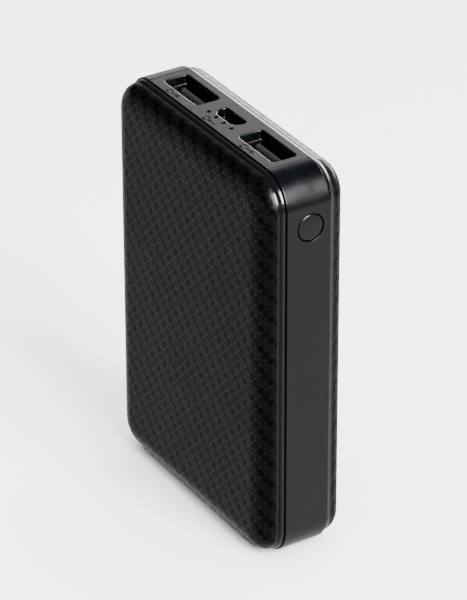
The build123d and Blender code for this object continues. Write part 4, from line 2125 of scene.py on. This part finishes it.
@dataclass
class Studio:
    """Pale floor, soft light all round and the camera."""

    azimuth: float = 58.307
    elevation: float = 30.487
    roll: float = -0.19
    distance: float = 0.8281
    lens_mm: float = 228.558
    sensor_mm: float = 36.0
    shift: Pair = (0.00745, 0.0227833)
    clip: Pair = (0.01, 20.0)
    target: tuple[float, float, float] = (0.0, 0.0, 0.045)
    floor_half: float = 6.0
    floor_gap: float = 0.1 * MM
    table_glow: float = 1.0
    table_dark: float = 0.68
    table_front: float = 0.56
    wall_glow: float = 1.5
    streak_glow: float = 14.0
    room_glow: float = 0.01
    surround_tint: Color = (1.0, 0.955, 0.985)
    softboxes: tuple[Softbox, ...] = (
        Softbox("corner_box", (0.85, 0.08, 0.60), (0.46, 0.70), 58.0),
        Softbox("overhead_box", (-0.1, 0.1, 2.4), (4.0, 4.0), 345.0, glossy=False),
    )

    def build_floor(self) -> None:
        """Adds a pale floor that the object stands on."""
        bm = bmesh.new()
        made = bmesh.ops.create_grid(bm, x_segments=1, y_segments=1, size=self.floor_half)
        bmesh.ops.translate(bm, vec=(0.0, 0.0, -self.floor_gap), verts=made["verts"])
        floor = finish_mesh(bm, "floor")
        recipe = Recipe("pale_floor")
        mottle = recipe.noise(60.0, 2.0)
        recipe.base_color(recipe.blend_color(mottle, (0.86, 0.86, 0.86), (0.88, 0.88, 0.88)))
        recipe.roughness(0.7)
        floor.data.materials.append(recipe.material)
        floor.visible_glossy = False

    def build_world(self) -> None:
        """Adds the surround that the gloss mirrors.

        Low down it stands for the pale table, dark towards the front right. Above
        the table only the wall behind on the left is bright.
        """
        world = bpy.data.worlds.new("studio")
        bpy.context.scene.world = world
        world.use_nodes = True
        bench = NodeBench(world.node_tree)
        output = bench.tree.nodes.new("ShaderNodeOutputWorld")
        background = bench.tree.nodes.new("ShaderNodeBackground")
        x, y, z = bench.split(bench.tree.nodes.new("ShaderNodeTexCoord").outputs["Generated"])
        glow = bench.math("ADD", self.table(bench, x, y, z), self.wall(bench, x, y, z))
        bench.feed(background.inputs["Strength"], bench.math("ADD", glow, self.room_glow))
        background.inputs["Color"].default_value = (*self.surround_tint, 1.0)
        bench.tree.links.new(background.outputs[0], output.inputs[0])

    def table(self, bench: NodeBench, x: Socket, y: Socket, z: Socket) -> Socket:
        """Glow of the table, which the gloss mirrors from below.

        Args:
            bench: the surround's nodes.
            x: direction along X.
            y: direction along Y.
            z: direction along Z.

        Returns:
            The glow: dark towards the front right, with a dimmer band under the button's side.
        """
        to_front_right = bench.math("ADD", bench.times(x, 0.53), bench.times(y, -0.85))
        sector = bench.span(to_front_right, (0.5, 0.8), (0.0, self.table_dark))
        below = bench.span(z, (-0.08, -0.3), (0.0, 1.0))
        dark_sector = bench.times(sector, below)
        front = bench.span(y, (0.1, -0.4), (1.0, self.table_front))
        band = bench.times(
            bench.span(z, (-0.40, -0.28), (0.0, 0.9)),
            bench.span(z, (0.0, -0.06), (0.0, 1.0)),
            bench.span(x, (0.2, 0.6), (0.0, 1.0)),
        )
        left_back = bench.times(
            bench.span(x, (-0.3, -0.7), (0.0, 0.7)), bench.span(y, (0.0, 0.3), (0.0, 1.0))
        )
        kept = [bench.math("SUBTRACT", 1.0, loss) for loss in (dark_sector, band, left_back)]
        shade = bench.times(kept[0], front, kept[1], kept[2])
        shade = bench.math("MAXIMUM", shade, bench.span(z, (-0.05, 0.0), (0.0, 1.0)))
        return bench.times(bench.span(z, (0.16, 0.02), (0.0, self.table_glow)), shade)

    def wall(self, bench: NodeBench, x: Socket, y: Socket, z: Socket) -> Socket:
        """Glow of the wall behind on the left, with a bright streak low down.

        Args:
            bench: the surround's nodes.
            x: direction along X.
            y: direction along Y.
            z: direction along Z.

        Returns:
            The glow.
        """
        left, back = (0.25, -0.35), (0.05, 0.55)
        wall = bench.times(
            bench.span(x, left, (0.0, self.wall_glow)),
            bench.span(y, back, (0.0, 1.0)),
            bench.span(z, (0.8, 0.4), (0.0, 1.0)),
        )
        streak = bench.times(
            bench.span(y, (0.5, 0.64), (0.0, 1.0)),
            bench.span(z, (0.45, 0.2), (0.0, 1.0)),
            bench.span(x, left, (0.0, self.streak_glow)),
        )
        over_table = bench.span(z, (-0.02, 0.1), (0.0, 1.0))
        return bench.times(bench.math("ADD", wall, streak), over_table)

    def build_camera(self) -> None:
        """Adds the camera that the scene is seen through."""
        data = bpy.data.cameras.new("camera")
        data.sensor_width = self.sensor_mm
        data.lens = self.lens_mm
        data.shift_x, data.shift_y = self.shift
        data.clip_start, data.clip_end = self.clip
        camera = bpy.data.objects.new("camera", data)
        az, el = math.radians(self.azimuth), math.radians(self.elevation)
        back = Vector((math.sin(az) * math.cos(el), -math.cos(az) * math.cos(el), math.sin(el)))
        camera.location = Vector(self.target) + back * self.distance
        level = back.to_track_quat("Z", "Y").to_matrix()
        camera.rotation_euler = (level @ Matrix.Rotation(math.radians(self.roll), 3, "Z")).to_euler()
        bpy.context.scene.collection.objects.link(camera)
        bpy.context.scene.camera = camera

    def build(self) -> None:
        """Builds the whole studio."""
        self.build_floor()
        self.build_world()
        for softbox in self.softboxes:
            softbox.build()
        self.build_camera()


def main() -> None:
    """Builds every sub-assembly and the studio."""
    logging.basicConfig(level=logging.INFO, format="%(name)s: %(message)s")
    Studio().build()
    _, frame_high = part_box("mid_frame")
    panel_low, panel_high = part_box("port_panel")
    button_low, button_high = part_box("power_button")
    outline = CaseOutline(frame_high.x, frame_high.z)
    ports = PortLayout.from_frame()
    face_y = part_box("rear_cover")[1].y
    seam_y = frame_high.y + SEAM
    for side in CoverSide:
        cover = WovenCover(outline, side, face_y, seam_y)
        cover.dress(cover.build())
    band = MidFrame(
        outline=outline,
        half_depth=frame_high.y,
        panel_half=panel_high.x + PANEL_PLAY,
        panel_under=panel_low.z,
        button_at=(button_low + button_high) / 2,
    )
    band.dress(band.build(ports))
    panel = PortPanel(panel_high.x, panel_high.y, panel_low.z, panel_high.z, ports)
    panel.dress(panel.build())
    for side, middle in zip(("left", "right"), ports.usb_a):
        UsbAPort(side, middle).build()
    MicroUsbPort().build()
    guide = LampGuide(ports)
    guide.dress(guide.build())
    button = PowerButton()
    button.dress(button.build())
    Internals().dress()
    bpy.context.view_layer.update()


if __name__ == "__main__":
    main()
